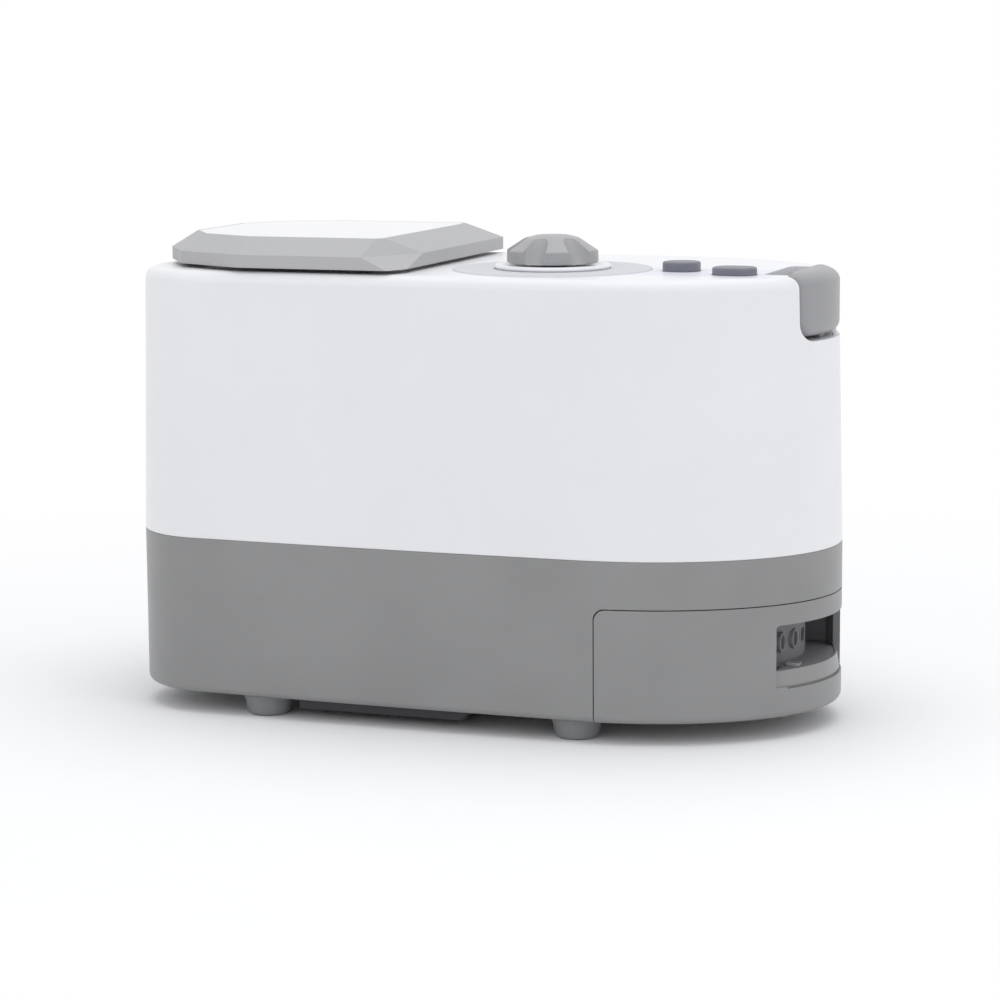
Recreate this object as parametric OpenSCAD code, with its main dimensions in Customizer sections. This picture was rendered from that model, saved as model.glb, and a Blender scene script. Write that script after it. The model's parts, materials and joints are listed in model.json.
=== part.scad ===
// Table-top air pump for compression therapy, as an assembly of its separate pieces.
// Millimetres, +Z up, origin on the resting plane under the middle of the body.
// +X is the end with the hose socket, -Y is the front.

/* [Body] */
// Length of the body
body_l = 264; // [250:1:280]
// Width of the body between its side walls, before they bow outwards
body_w = 119.7; // [116:0.1:124]
// How far each long side bows outwards at the middle
side_bow = 3.2; // [1:0.1:5]
// Height of the grey base
base_h = 59; // [57:0.5:63]
// Height of the body from the base's underside to the deck
body_h = 158.8; // [156:0.1:164]
// Half-ellipse of the right end, along the length
end_rx = 80; // [74:1:86]
// Corner radius of the left end
corner_r = 31.3; // [26:0.1:36]
// How far the upper shell draws in at the deck
draft = 2.2; // [1.4:0.1:2.8]
// Radius of the edge round the deck
deck_edge_r = 4.5; // [3:0.5:5.5]
// Wall of both shells
wall = 2.5; // [2.2:0.1:2.8]

/* [Underside] */
// Height of the feet
foot_h = 8; // [7.5:0.5:10]
// Diameter of a foot where it meets the base
foot_d = 19.5; // [17:0.5:21]
// Diameter of a foot where it stands
foot_low_d = 16; // [13:0.5:16.5]
// Distance of the left feet from the middle
foot_left_x = 75; // [73:1:79]
// Distance of the right feet from the middle
foot_right_x = 47.4; // [44:0.2:47.4]
// Distance of the feet from the centre line
foot_y = 50; // [48:0.5:50]
// Left end of the plate under the base
plate_x0 = -62; // [-64:1:-60]
// Length of the plate under the base
plate_l = 71.5; // [68:0.5:78]
// Width of the plate under the base
plate_w = 108; // [98:1:112]
// Thickness of the plate under the base
plate_t = 5; // [4.5:0.1:5.5]

/* [End cover and socket] */
// Where the end cover begins, from the middle
cover_x = 57.4; // [56:0.2:60]
// Height of the end cover
cover_h = 41.8; // [41:0.2:44]
// Corner radius of the end cover's outline
cover_r = 4; // [2:0.5:6]
// Width of the hose socket
socket_w = 52; // [50:0.5:54]
// Place of the hose socket's middle across the body
socket_y = -8.5; // [-9.5:0.5:-7.5]
// Height of the hose socket
socket_h = 17; // [16:0.5:18]
// Height of the socket's floor above the base's underside
socket_z = 17; // [16:0.5:18]
// Depth of the hose socket, from the surface to its curved back wall
socket_depth = 13.5; // [12.5:0.1:14.5]
// Diameter of an air port
port_d = 5.4; // [5:0.1:5.6]
// Distance between air ports
port_pitch = 8.4; // [8.2:0.1:8.6]
// Height of the air ports above the socket's floor
port_up = 7.5; // [6.5:0.1:9]
// Number of air ports
port_n = 3; // [2:1:3]
// Width of the pocket beside the ports, behind the end cover
key_w = 8; // [6:0.5:9]

/* [Lid] */
// Left edge of the lid
lid_x0 = -124; // [-125:0.5:-123]
// Length of the lid
lid_l = 106; // [104:0.5:108]
// Width of the lid
lid_w = 116; // [112:0.5:117]
// Gap between the deck and the lid
lid_gap = 1.5; // [1.4:0.1:2]
// Height of the lid's side band
lid_band_h = 4.7; // [4.4:0.1:5.2]
// Height of the lid's bevel
lid_bevel_h = 6; // [5.5:0.1:7]
// Width of the lid's bevel at the front and back
lid_bevel_w = 12; // [11:0.5:13]
// Corner cut of the lid's left end
lid_cut = 34; // [30:1:35]
// Depth of the storage tray below the deck
tray_d = 24; // [18:1:28]

/* [Knob] */
// Diameter of the knob
knob_d = 34; // [32:0.5:36]
// Height of the knob's side band
knob_band_h = 4.8; // [4.4:0.1:5.2]
// Height of the knob's crown above its band
knob_crown_h = 5.4; // [4.6:0.1:6]
// Width of the knob's flutes
flute_d = 9; // [7.5:0.5:10]
// Number of the knob's flutes
flute_n = 6; // [5:1:7]
// Diameter of the collar under the knob
collar_d = 43; // [41:0.5:46]
// Height of the collar under the knob
collar_h = 2.2; // [1.8:0.1:2.4]
// Diameter of the pale disc round the knob
dial_d = 74; // [70:1:75]
// Knob shaft diameter
shaft_d = 6; // [5.6:0.1:6.4]

/* [Buttons] */
// Width of the start button
start_w = 13.6; // [12:0.2:14.4]
// Height of the start button above the deck
start_h = 3.5; // [2.6:0.1:3.8]
// Width of the mode button
mode_w = 15.9; // [14:0.1:16.1]
// Height of the mode button above the deck
mode_h = 2.8; // [2.4:0.1:3.6]
// Depth of both buttons across the body
button_dp = 13; // [10:0.5:13.5]
// Travel of the buttons
button_travel = 1.2; // [0.8:0.1:1.4]

/* [Release tab] */
// Width of the release tab
tab_w = 48; // [46:0.5:50]
// Height of the release tab
tab_h = 23; // [21.5:0.1:23.5]
// Thickness of the release tab
tab_t = 13; // [12:0.2:13.4]
// Corner radius of the release tab
tab_r = 6; // [4:0.5:7]
// Gap under the release tab, which is room for its travel
tab_gap = 1.6; // [1.6:0.1:1.9]
// Travel of the release tab
tab_travel = 1.2; // [0.8:0.1:1.2]
// Depth of the finger scoop behind the tab
scoop_d = 16; // [12:1:18]

/* [Hidden] */

$fn = 48;

// Heights
base_z = foot_h;
part_z = base_z + base_h;
deck_z = base_z + body_h;
floor_z = base_z + wall;
deck_under_z = deck_z - wall - 0.5;

// Clearances
seam = 0.4;
slip = 0.3;
run = 0.05;
seat = 0.3;

// Places on the deck
knob_x = body_l / 2 - 105;
knob_y = -16;
start_x = body_l / 2 - 57;
start_y = -11;
mode_x = body_l / 2 - 34;
mode_y = -22;

// Air passages
passage_d = 3;
nozzle_l = 10;
nozzle_d = 4.6;
hose_id = nozzle_d + 2 * run;
hose_od = nozzle_d + 2;

// Colours
white = [0.92, 0.92, 0.94];
grey = [0.55, 0.55, 0.56];
dark = [0.27, 0.27, 0.28];
rubber = [0.45, 0.46, 0.47];
blue_grey = [0.47, 0.48, 0.52];
steel = [0.7, 0.7, 0.72];
board_green = [0.1, 0.35, 0.2];

// ---------- outline of the body ----------

corner_steps = 10;
side_steps = 6;
end_steps = 20;

// How far the side bows out at x
function bow(x) = side_bow * (1 - pow(x / (body_l / 2), 2));

// A point of the front half's outline, moved outwards by the bow
function bowed(p) = [p[0], p[1] - bow(p[0]) * min(1, abs(p[1]) / (body_w / 2))];

// Front half of the outline, drawn in by d, from the left end to the right end
function front_half(d) =
    let (hl = body_l / 2 - d, hw = body_w / 2 - d, r = corner_r - d, rx = end_rx - d)
    concat(
        [for (i = [0:corner_steps]) let (t = 90 * i / corner_steps)
            bowed([-hl + r - r * cos(t), -hw + r - r * sin(t)])],
        [for (i = [1:side_steps - 1])
            bowed([-hl + r + (2 * hl - r - rx) * i / side_steps, -hw])],
        [for (i = [0:end_steps - 1]) let (t = 90 * i / end_steps)
            bowed([hl - rx + rx * sin(t), -hw * cos(t)])],
        [[hl, 0]]);

// Whole outline, drawn in by d, anticlockwise seen from above
function outline(d) =
    let (h = front_half(d))
    concat(h, [for (i = [len(h) - 2:-1:0]) [h[i][0], -h[i][1]]]);

// Half width of the body at x on the straight stretch, drawn in by d
function half_width(x, d) = body_w / 2 - d + bow(x);

// Distance of the right end's surface from the middle at y, drawn in by d
function end_x(y, d) =
    body_l / 2 - end_rx + (end_rx - d) * sqrt(1 - pow(y / (body_w / 2 + 1 - d), 2));

// Solid through outlines, each given as [height, how far it is drawn in]
module loft(rings) {
    n = len(outline(0));
    k = len(rings);
    points = [for (r = rings) for (p = outline(r[1])) [p[0], p[1], r[0]]];
    sides = [for (j = [0:k - 2]) for (i = [0:n - 1])
        let (a = j * n + i, b = j * n + (i + 1) % n) each [[b, a, a + n], [b, a + n, b + n]]];
    polyhedron(points, faces = concat([[for (i = [0:n - 1]) i]], sides,
        [[for (i = [n - 1:-1:0]) (k - 1) * n + i]]));
}

// Upright band between two insets of the outline
module ring(z0, z1, d0, d1) {
    difference() {
        prism(z0, z1, d0);
        prism(z0 - 1, z1 + 1, d1);
    }
}

// Upright wall-sided solid of the outline drawn in by d
module prism(z0, z1, d) {
    translate([0, 0, z0]) linear_extrude(z1 - z0) polygon(outline(d));
}

// Box from its lowest to its highest corner
module block(lo, hi) {
    translate(lo) cube(hi - lo);
}

// Upright rod
module rod(x, y, z0, z1, d) {
    translate([x, y, z0]) cylinder(h = z1 - z0, d = d);
}

// Rod along X
module rod_x(x0, x1, y, z, d) {
    translate([x0, y, z]) rotate([0, 90, 0]) cylinder(h = x1 - x0, d = d);
}

// Rod along Y
module rod_y(x, y0, y1, z, d) {
    translate([x, y0, z]) rotate([-90, 0, 0]) cylinder(h = y1 - y0, d = d);
}

// ---------- shells ----------

// Draw-in of the upper shell at a height
function draw_in(z) = draft * (z - part_z) / (deck_z - part_z);

// Rings of the upper shell, its deck edge rounded, thinner by d
function upper_rings(d) =
    let (r = deck_edge_r, top = deck_z - d * 1.2)
    concat(
        [[part_z - (d > 0 ? 1 : 0), d]],
        [for (i = [0:5]) let (t = 90 * i / 5)
            [top - r + r * sin(t), d + draw_in(deck_z - r) + r * (1 - cos(t))]]);

// Side view of the end cover, widened by c
module cover_profile(c) {
    x0 = cover_x - c;
    z1 = base_z + cover_h + c;
    r = cover_r;
    union() {
        translate([x0 + r, base_z - 5]) square([body_l, cover_h + c + 5]);
        translate([x0, base_z - 5]) square([r + 1, cover_h + c + 5 - r]);
        translate([x0 + r, z1 - r]) circle(r = r);
    }
}

// Region that the end cover takes, widened by c
module cover_zone(c) {
    translate([0, 100, 0]) rotate([90, 0, 0]) linear_extrude(200) cover_profile(c);
}

// Places of the case screws
post_x0 = 22 - body_l / 2;
post_x1 = body_l / 2 - 56;
case_posts = [[post_x0, -38], [post_x0, 38], [post_x1, -40], [post_x1, 40]];
post_d = 11;
screw_d = 4;
screw_head_d = 6.5;
top_boss_h = 18;

// Places of the air ports
port_z = base_z + socket_z + port_up;
function port_y(i) = socket_y + port_pitch * (i - (port_n - 1) / 2);
function port_x(i) = end_x(port_y(i), socket_depth);

// Flat mouth of a port, just clear of the curved wall round its bore
function port_face(i) = end_x(max(0, abs(port_y(i)) - port_d / 2), socket_depth) + 0.1;

inlet_x = 10;
inlet_w = 26;
inlet_h = 17;
inlet_l = 17;
inlet_wall = 2.5;
inlet_z = base_z + 20;

// Window of the socket in the end cover
socket_y0 = socket_y - socket_w / 2;
socket_y1 = socket_y + socket_w / 2;
socket_z0 = base_z + socket_z;
socket_z1 = socket_z0 + socket_h;

foot_peg_d = 5;
foot_peg_h = wall + 3;
plate_screw_x = 8;
plate_screw_y = plate_w / 2 - 5;
plate_screws = [for (x = [plate_x0 + plate_screw_x, plate_x0 + plate_l - plate_screw_x])
    for (s = [-1, 1]) [x, s * plate_screw_y]];
plate_screw_d = 3;

pad_l = 42;
pad_w = 32;
pad_x = plate_x0 + plate_l / 2;

module base_shell() {
    color(grey) difference() {
        union() {
            difference() {
                loft([[base_z, wall], [base_z + 0.7, 0.8], [base_z + wall, 0], [part_z, 0]]);
                prism(floor_z, part_z + 1, wall);
                cover_zone(0);
            }
            // floor inside the end cover
            intersection() {
                prism(base_z + 0.5, floor_z, wall + slip);
                block([cover_x - 3, -100, 0], [body_l, 100, part_z]);
            }
            // lip that the upper shell sits round
            ring(part_z - 5, part_z - 0.5, wall - 0.5, wall + lip_t);
            ring(part_z - 5, part_z + lip_h, wall + lip_gap, wall + lip_t);
            seam_ledge();
            for (p = case_posts) rod(p[0], p[1], floor_z - 1, part_z - slip, post_d);
            // pedestal under the port block
            block([block_x0, nub_y + nub_w / 2 + pedestal_gap, floor_z - 1],
                  [block_x0 + pedestal_l, 2 * socket_y - nub_y - nub_w / 2 - pedestal_gap,
                      socket_z0 - block_wall - 0.1]);
            for (p = board_posts) rod(p[0], p[1], floor_z - 1, board_z, 7);
            for (y = valve_screws) rod(valve_screw_x, y, floor_z - 1, valve_z0, 8);
        }
        for (p = case_posts) {
            rod(p[0], p[1], base_z - 1, part_z + 1, screw_d + 2 * run);
            rod(p[0], p[1], base_z - 1, screw_seat_z, screw_head_d + 0.5);
        }
        for (p = board_posts) rod(p[0], p[1], board_z - 9, board_z + 1, board_screw_d + 2 * run);
        for (y = valve_screws)
            rod(valve_screw_x, y, floor_z - 0.5, valve_z0 + 1, plate_screw_d + 2 * run);
        for (p = foot_places) rod(p[0], p[1], base_z - 1, floor_z + 1, foot_peg_d + 0.2);
        for (p = plate_screws) rod(p[0], p[1], base_z - 1, floor_z + 1, plate_screw_d + 2 * run);
        // air intake holes above the filter
        for (i = [-2:2]) for (j = [-1:1])
            rod(pad_x + i * 7, j * 8, base_z - 1, floor_z + 1, 4);
        // cut-out for the power inlet
        block([inlet_x - inlet_w / 2 - 0.2, body_w / 2 - inlet_l, inlet_z - 0.2],
              [inlet_x + inlet_w / 2 + 0.2, body_w / 2 + inlet_l, inlet_z + inlet_h + 0.2]);
    }
}

// Ledge behind the seam round the end cover
module seam_ledge() {
    z1 = base_z + cover_h + 6;
    intersection() {
        union() {
            difference() {
                ring(floor_z - 1, z1, wall + slip, wall + ledge_t);
                cover_zone(-4);
            }
            difference() {
                ring(floor_z - 1, z1, wall - 0.5, wall + ledge_t);
                cover_zone(0);
            }
        }
        cover_zone(3);
    }
}

lip_h = 3;
lip_gap = 0.2;
lip_t = 1.7;
ledge_t = 2;
screw_seat_z = base_z + 12;

foot_places = [[-foot_left_x, -foot_y], [foot_right_x, -foot_y],
               [-foot_left_x, foot_y], [foot_right_x, foot_y]];

module foot(k) {
    p = foot_places[k];
    edge = 1.5;
    color(rubber) translate([p[0], p[1], 0]) union() {
        rotate_extrude() polygon([
            [0, 0], [foot_low_d / 2 - edge, 0], [foot_low_d / 2, edge],
            [foot_d / 2, foot_h], [0, foot_h]]);
        cylinder(h = foot_h + foot_peg_h, d = foot_peg_d);
    }
}

module bottom_plate() {
    z0 = base_z - plate_t;
    x1 = plate_x0 + plate_l;
    bevel = 6.3;
    color(dark) difference() {
        translate([0, plate_w / 2, 0]) rotate([90, 0, 0]) linear_extrude(plate_w)
            polygon([[plate_x0, base_z], [plate_x0 + 1, z0], [x1 - bevel, z0], [x1, base_z]]);
        block([pad_x - pad_l / 2 - slip, -pad_w / 2 - slip, z0 + 1.5],
              [pad_x + pad_l / 2 + slip, pad_w / 2 + slip, base_z + 1]);
        for (i = [-2:2])
            block([pad_x + i * 7 - 1.5, -12, z0 - 1], [pad_x + i * 7 + 1.5, 12, z0 + 2]);
        for (p = plate_screws) {
            rod(p[0], p[1], z0 - 1, base_z + 1, plate_screw_d + 2 * run);
            rod(p[0], p[1], z0 - 1, z0 + 2, 6.2);
        }
    }
}

module filter_pad() {
    color([0.2, 0.2, 0.22])
        block([pad_x - pad_l / 2, -pad_w / 2, base_z - plate_t + 1.5 + 0.1],
              [pad_x + pad_l / 2, pad_w / 2, base_z - 0.2]);
}

// ---------- upper shell ----------

tab_x1 = body_l / 2 - 0.5;
tab_x0 = tab_x1 - tab_t;
tab_z1 = deck_z + 1;
tab_z0 = tab_z1 - tab_h;
notch_z = tab_z0 - tab_gap;
notch_c = 0.6;
liner_t = 1.6;
scoop_w = 40;
scoop_x0 = mode_x + mode_w / 2 + slip + liner_t + 0.2;

// Front view of a plate with rounded lower corners, widened by c, open upwards
module tab_profile(c, z0, z1) {
    hw = tab_w / 2 + c;
    union() {
        translate([-hw, z0 + tab_r]) square([2 * hw, z1 - z0 - tab_r]);
        translate([-hw + tab_r, z0]) square([2 * hw - 2 * tab_r, tab_r + 1]);
        for (s = [-1, 1]) translate([s * (hw - tab_r), z0 + tab_r]) circle(r = tab_r);
    }
}

// Plate of that profile from x0 to x1
module tab_slab(x0, x1, c, z0, z1) {
    translate([x0, 0, 0]) rotate([90, 0, 90]) linear_extrude(x1 - x0) tab_profile(c, z0, z1);
}

board_top_z = deck_z - 14;
control_posts = [[knob_x - 25, 34], [knob_x - 25, -45], [knob_x + 37, 36], [knob_x + 37, -40]];
control_post_d = 6;

tray_x0 = lid_x0 + 14;
tray_x1 = lid_x0 + lid_l - 8;
tray_w = 84;
tray_wall = 1.8;
tray_cut = 15;
tray_flange = 3;

// Outline of the tray, drawn in by d
function tray_outline(d) =
    octagon(tray_x0 + d, tray_x1 - d, tray_w / 2 - d, tray_cut - d * 0.6, 3, 3);

hinge_x = lid_x0 + 2.8;
hinge_z = deck_z + lid_gap + 2.9;
hinge_ear_y = 15;
hinge_ear_w = 5;
hinge_ear_d = 4.4;
hinge_pin_d = 2.4;
hinge_bore_y = 25;

module top_shell() {
    color(white) difference() {
        union() {
            difference() {
                loft(upper_rings(0));
                loft(upper_rings(wall));
            }
            // bosses for the case screws, with a rib to the wall
            intersection() {
                union() for (p = case_posts) {
                    rod(p[0], p[1], part_z, part_z + top_boss_h, post_d);
                    block([p[0] - 1.5, min(p[1], sign(p[1]) * body_w), part_z + 4],
                          [p[0] + 1.5, max(p[1], sign(p[1]) * body_w), part_z + top_boss_h]);
                }
                prism(part_z, deck_z, wall / 2);
            }
            // posts that carry the control board
            for (p = control_posts) rod(p[0], p[1], board_top_z, deck_z - 1, control_post_d);
            // hinge ears
            for (s = [-1, 1]) hinge_ear(s);
            // guide of the release link
            intersection() {
                block([link_x - 8, link_y - 7, guide_z0], [body_l, link_y + 7, guide_z1]);
                prism(part_z, deck_z, 2);
            }
        }
        // notch for the tab, and mouth of the scoop
        tab_slab(tab_x0 - seat, body_l, notch_c, notch_z, deck_z + 20);
        block([scoop_x0, -scoop_w / 2, deck_z - scoop_d], [tab_x0, scoop_w / 2, deck_z + 5]);
        // opening for the storage tray
        translate([0, 0, deck_z - 10]) linear_extrude(15) polygon(tray_outline(-slip));
        // knob shaft and buttons
        rod(knob_x, knob_y, deck_z - 10, deck_z + 5, 10);
        button_hole(start_x, start_y, start_w);
        button_hole(mode_x, mode_y, mode_w);
        for (p = control_posts)
            rod(p[0], p[1], board_top_z - 1, board_top_z + 7, board_screw_d + 2 * run);
        for (p = case_posts)
            rod(p[0], p[1], part_z - 1, part_z + top_boss_h - 3, screw_d + 2 * run);
        rod_y(hinge_x, -40, 40, hinge_z, hinge_pin_d + 2 * run);
        block([link_x - link_dp / 2 - slip, link_y - link_t / 2 - slip, guide_z0 - 1],
              [link_x + link_dp / 2 + slip, link_y + link_t / 2 + slip, guide_z1 + 1]);
    }
}

notch_floor_t = 2;
stem_x0 = tab_x0 + 1.5;
stem_t = 5;
stem_w = 8;

// Box behind the notch, with the finger scoop in it
module tab_well() {
    color(white) difference() {
        intersection() {
            union() {
                block([scoop_x0 - liner_t, -scoop_w / 2 - liner_t, deck_z - scoop_d - liner_t],
                      [tab_x0 - seat, scoop_w / 2 + liner_t, deck_z]);
                block([tab_x0 - seat - 2, -tab_w / 2 - notch_c - 2, notch_z - notch_floor_t],
                      [body_l, tab_w / 2 + notch_c + 2, deck_z]);
            }
            loft(upper_rings(wall + slip));
        }
        tab_slab(tab_x0 - seat, body_l, notch_c, notch_z, deck_z + 20);
        block([stem_x0 - slip, -stem_w / 2 - slip, notch_z - 10],
              [stem_x0 + stem_t + slip, stem_w / 2 + slip, notch_z + 1]);
        block([scoop_x0, -scoop_w / 2, deck_z - scoop_d], [tab_x0, scoop_w / 2, deck_z + 5]);
    }
}

module hinge_ear(s) {
    y0 = s * hinge_ear_y - hinge_ear_w / 2;
    union() {
        rod_y(hinge_x, y0, y0 + hinge_ear_w, hinge_z, hinge_ear_d);
        block([hinge_x - hinge_ear_d / 2, y0, deck_z - 2.5],
              [hinge_x + hinge_ear_d / 2, y0 + hinge_ear_w, hinge_z]);
    }
}

module button_hole(x, y, w) {
    block([x - w / 2 - slip, y - button_dp / 2 - slip, deck_z - 10],
          [x + w / 2 + slip, y + button_dp / 2 + slip, deck_z + 5]);
}

// ---------- end cover and socket ----------

chin_z0 = base_z + 11.2;
groove_h = 0.8;

module end_cover() {
    color(grey) difference() {
        intersection() {
            difference() {
                loft([[base_z, wall - 0.4], [base_z + 0.7, 0.8], [base_z + wall, 0],
                      [base_z + cover_h + 5, 0]]);
                prism(base_z - 1, base_z + cover_h + 6, wall);
            }
            cover_zone(-seam);
        }
        // window of the socket
        block([socket_back_x - 10, socket_y0, socket_z0], [body_l, socket_y1, socket_z1]);
        // bevelled chin below it, with a groove along its foot
        difference() {
            block([socket_back_x, socket_y0, chin_z0], [body_l, socket_y1, socket_z0 + 1]);
            loft([[chin_z0 - 1, 0.6], [socket_z0 + 2, 1.9]]);
        }
        difference() {
            block([socket_back_x, socket_y0 + 4, chin_z0 - groove_h],
                  [body_l, socket_y1, chin_z0 + 0.1]);
            prism(base_z, part_z, 1.3);
        }
    }
}

block_wall = 2.5;
socket_back_x = body_l / 2 - 24;
block_x0 = socket_back_x - 4;
port_l = 8;
port_rim = 1;
pedestal_gap = 0.7;
pedestal_l = 6;

// Box of the socket with its walls, from x0 to x1
module socket_box(x0, x1) {
    block([x0, socket_y0 - block_wall, socket_z0 - block_wall],
          [x1, socket_y1 + key_w + block_wall, socket_z1 + block_wall]);
}

module port_block() {
    color([0.42, 0.42, 0.43]) difference() {
        union() {
            // back wall, whose middle follows the outline
            socket_box(block_x0, socket_back_x);
            intersection() {
                socket_box(block_x0, body_l);
                prism(base_z, part_z, socket_depth);
            }
            for (i = [0:port_n - 1]) {
                rod_x(block_x0 - nozzle_l, block_x0 + 1, port_y(i), port_z, nozzle_d);
                rod_x(block_x0 + 1, port_face(i), port_y(i), port_z, port_d + 2 * port_rim);
            }
        }
        for (i = [0:port_n - 1]) {
            rod_x(port_face(i) - port_l, port_face(i) + 1, port_y(i), port_z, port_d);
            rod_x(block_x0 - nozzle_l - 1, port_x(i), port_y(i), port_z, passage_d);
        }
    }
}

module socket_frame() {
    color([0.42, 0.42, 0.43]) difference() {
        intersection() {
            socket_box(socket_back_x + 0.1, body_l);
            prism(base_z, part_z, wall + slip);
        }
        prism(base_z, part_z, socket_depth - 0.1);
        block([socket_back_x, socket_y0, socket_z0], [body_l, socket_y1 + key_w, socket_z1]);
        // shallow slot in the floor, and the hole for the catch
        block([socket_back_x + 4, socket_y0 + 3, socket_z0 - 1.2],
              [nub_x - nub_l / 2 - 1, nub_y - nub_w / 2 - 1, socket_z0 + 0.1]);
        block([nub_x - nub_l / 2 - slip, nub_y - nub_w / 2 - slip, socket_z0 - 10],
              [nub_x + nub_l / 2 + slip, nub_y + nub_w / 2 + slip, socket_z0 + 0.1]);
    }
}

// ---------- release ----------

link_t = 2;
link_dp = 8;
link_x = block_x0 - 4;
link_y = port_y(0) - hose_od / 2 - 1 - link_t / 2;
link_z0 = socket_z0 - 9;
stem_flange_t = 2;
link_z1 = notch_z - notch_floor_t - slip - stem_flange_t;
link_arm_t = 3;
guide_z0 = part_z + 40;
guide_z1 = guide_z0 + 3;
spring_l = 16;
spring_d = 13;
spring_id = 10;

nub_x = socket_back_x + 12.5;
nub_y = link_y + 2;
nub_l = 5;
nub_w = 4;
nub_h = 1.2;

module release_tab() {
    d = draft - 0.3;
    color([0.6, 0.6, 0.61]) union() {
        intersection() {
            tab_slab(tab_x0, body_l, 0, tab_z0, tab_z1);
            loft([[tab_z0 - 1, d + 2.6], [tab_z0, d + 2.3], [tab_z0 + 1, d + 1.1],
                  [tab_z0 + 2.2, d + 0.35], [tab_z0 + 3.4, d], [tab_z1 - 3.2, d],
                  [tab_z1 - 1.9, d + 0.9], [tab_z1 - 0.8, d + 2.4], [tab_z1 + 0.1, d + 4.7]]);
        }
        // stem through the notch's floor, with a flange that holds the tab in
        block([stem_x0, -stem_w / 2, link_z1], [stem_x0 + stem_t, stem_w / 2, tab_z0 + 3]);
        block([stem_x0 - 1, -stem_w / 2 - 3, link_z1],
              [stem_x0 + stem_t + 1, stem_w / 2 + 3, link_z1 + stem_flange_t]);
    }
}

module release_link() {
    x0 = link_x - link_dp / 2;
    x1 = link_x + link_dp / 2;
    y0 = link_y - link_t / 2;
    shoulder_z = guide_z1 + spring_l;
    color(steel) union() {
        block([x0, y0, link_z0], [x1, y0 + link_t, link_z1]);
        block([x0, y0, link_z1 - link_arm_t], [x1, stem_w / 2, link_z1]);
        block([x0, -stem_w / 2, link_z1 - link_arm_t], [stem_x0 + stem_t, stem_w / 2, link_z1]);
        block([x0, y0, link_z0], [x1, nub_y + nub_w / 2, link_z0 + 2]);
        block([x0, nub_y - nub_w / 2, link_z0], [nub_x + nub_l / 2, nub_y + nub_w / 2, link_z0 + 2]);
        block([nub_x - nub_l / 2, nub_y - nub_w / 2, link_z0],
              [nub_x + nub_l / 2, nub_y + nub_w / 2, socket_z0 + nub_h]);
        rod(link_x, link_y, shoulder_z, shoulder_z + 2, spring_d);
    }
}

module release_spring() {
    color(steel) translate([link_x, link_y, guide_z1]) difference() {
        cylinder(h = spring_l, d = spring_d);
        translate([0, 0, -1]) cylinder(h = spring_l + 2, d = spring_id);
    }
}

// ---------- lid ----------

lid_z0 = deck_z + lid_gap;
lid_z1 = lid_z0 + lid_band_h;
lid_z2 = lid_z1 + lid_bevel_h;
lid_x1 = lid_x0 + lid_l;
lid_left_bevel = 9;
lid_right_bevel = 11;
lid_rear_cut = 3;
lid_wall = 2.5;

// Octagon with left cuts a and right cuts b by c
function octagon(x0, x1, hw, a, b, c) =
    [[x0, -hw + a], [x0 + a, -hw], [x1 - b, -hw], [x1, -hw + c],
     [x1, hw - c], [x1 - b, hw], [x0 + a, hw], [x0, hw - a]];

// Outline of the lid between x0 and x1: two facets at each left corner, as far as a,
// a facet b by c at the front right corner, and a small cut at the rear right corner
function lid_outline(x0, x1, hw, a, b, c) =
    [[x0, -hw + a], [x0 + a * 0.4, -hw + a * 0.4], [x0 + a * 1.26, -hw], [x1 - b, -hw],
     [x1, -hw + c], [x1, hw - lid_rear_cut], [x1 - lid_rear_cut, hw], [x0 + a * 1.26, hw],
     [x0 + a * 0.4, hw - a * 0.4], [x0, hw - a]];

// Outlines of the lid at its foot, at the top of its band, and at its top, drawn in by d
function lid_foot(d) =
    lid_outline(lid_x0 + d, lid_x1 - d, lid_w / 2 - d, lid_cut - d * 0.6, 4, 10);
function lid_mid(d) =
    lid_outline(lid_x0 + d, lid_x1 - d, lid_w / 2 - d, lid_cut - d * 0.6, 14, 26);
function lid_top(d) =
    lid_outline(lid_x0 + lid_left_bevel + d, lid_x1 - lid_right_bevel - d,
        lid_w / 2 - lid_bevel_w - d, lid_cut - 8 - d * 0.6, 2, 3);

// Solid through three lists of as many points at three heights
module stack(a, za, b, zb, c, zc) {
    n = len(a);
    points = concat([for (p = a) [p[0], p[1], za]], [for (p = b) [p[0], p[1], zb]],
        [for (p = c) [p[0], p[1], zc]]);
    sides = [for (j = [0:1]) for (i = [0:n - 1])
        let (u = j * n + i, v = j * n + (i + 1) % n) each [[v, u, u + n], [v, u + n, v + n]]];
    polyhedron(points, faces = concat([[for (i = [0:n - 1]) i]], sides,
        [[for (i = [n - 1:-1:0]) 2 * n + i]]));
}

panel_t = 2.4;
panel_rim = 0.5;

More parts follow.
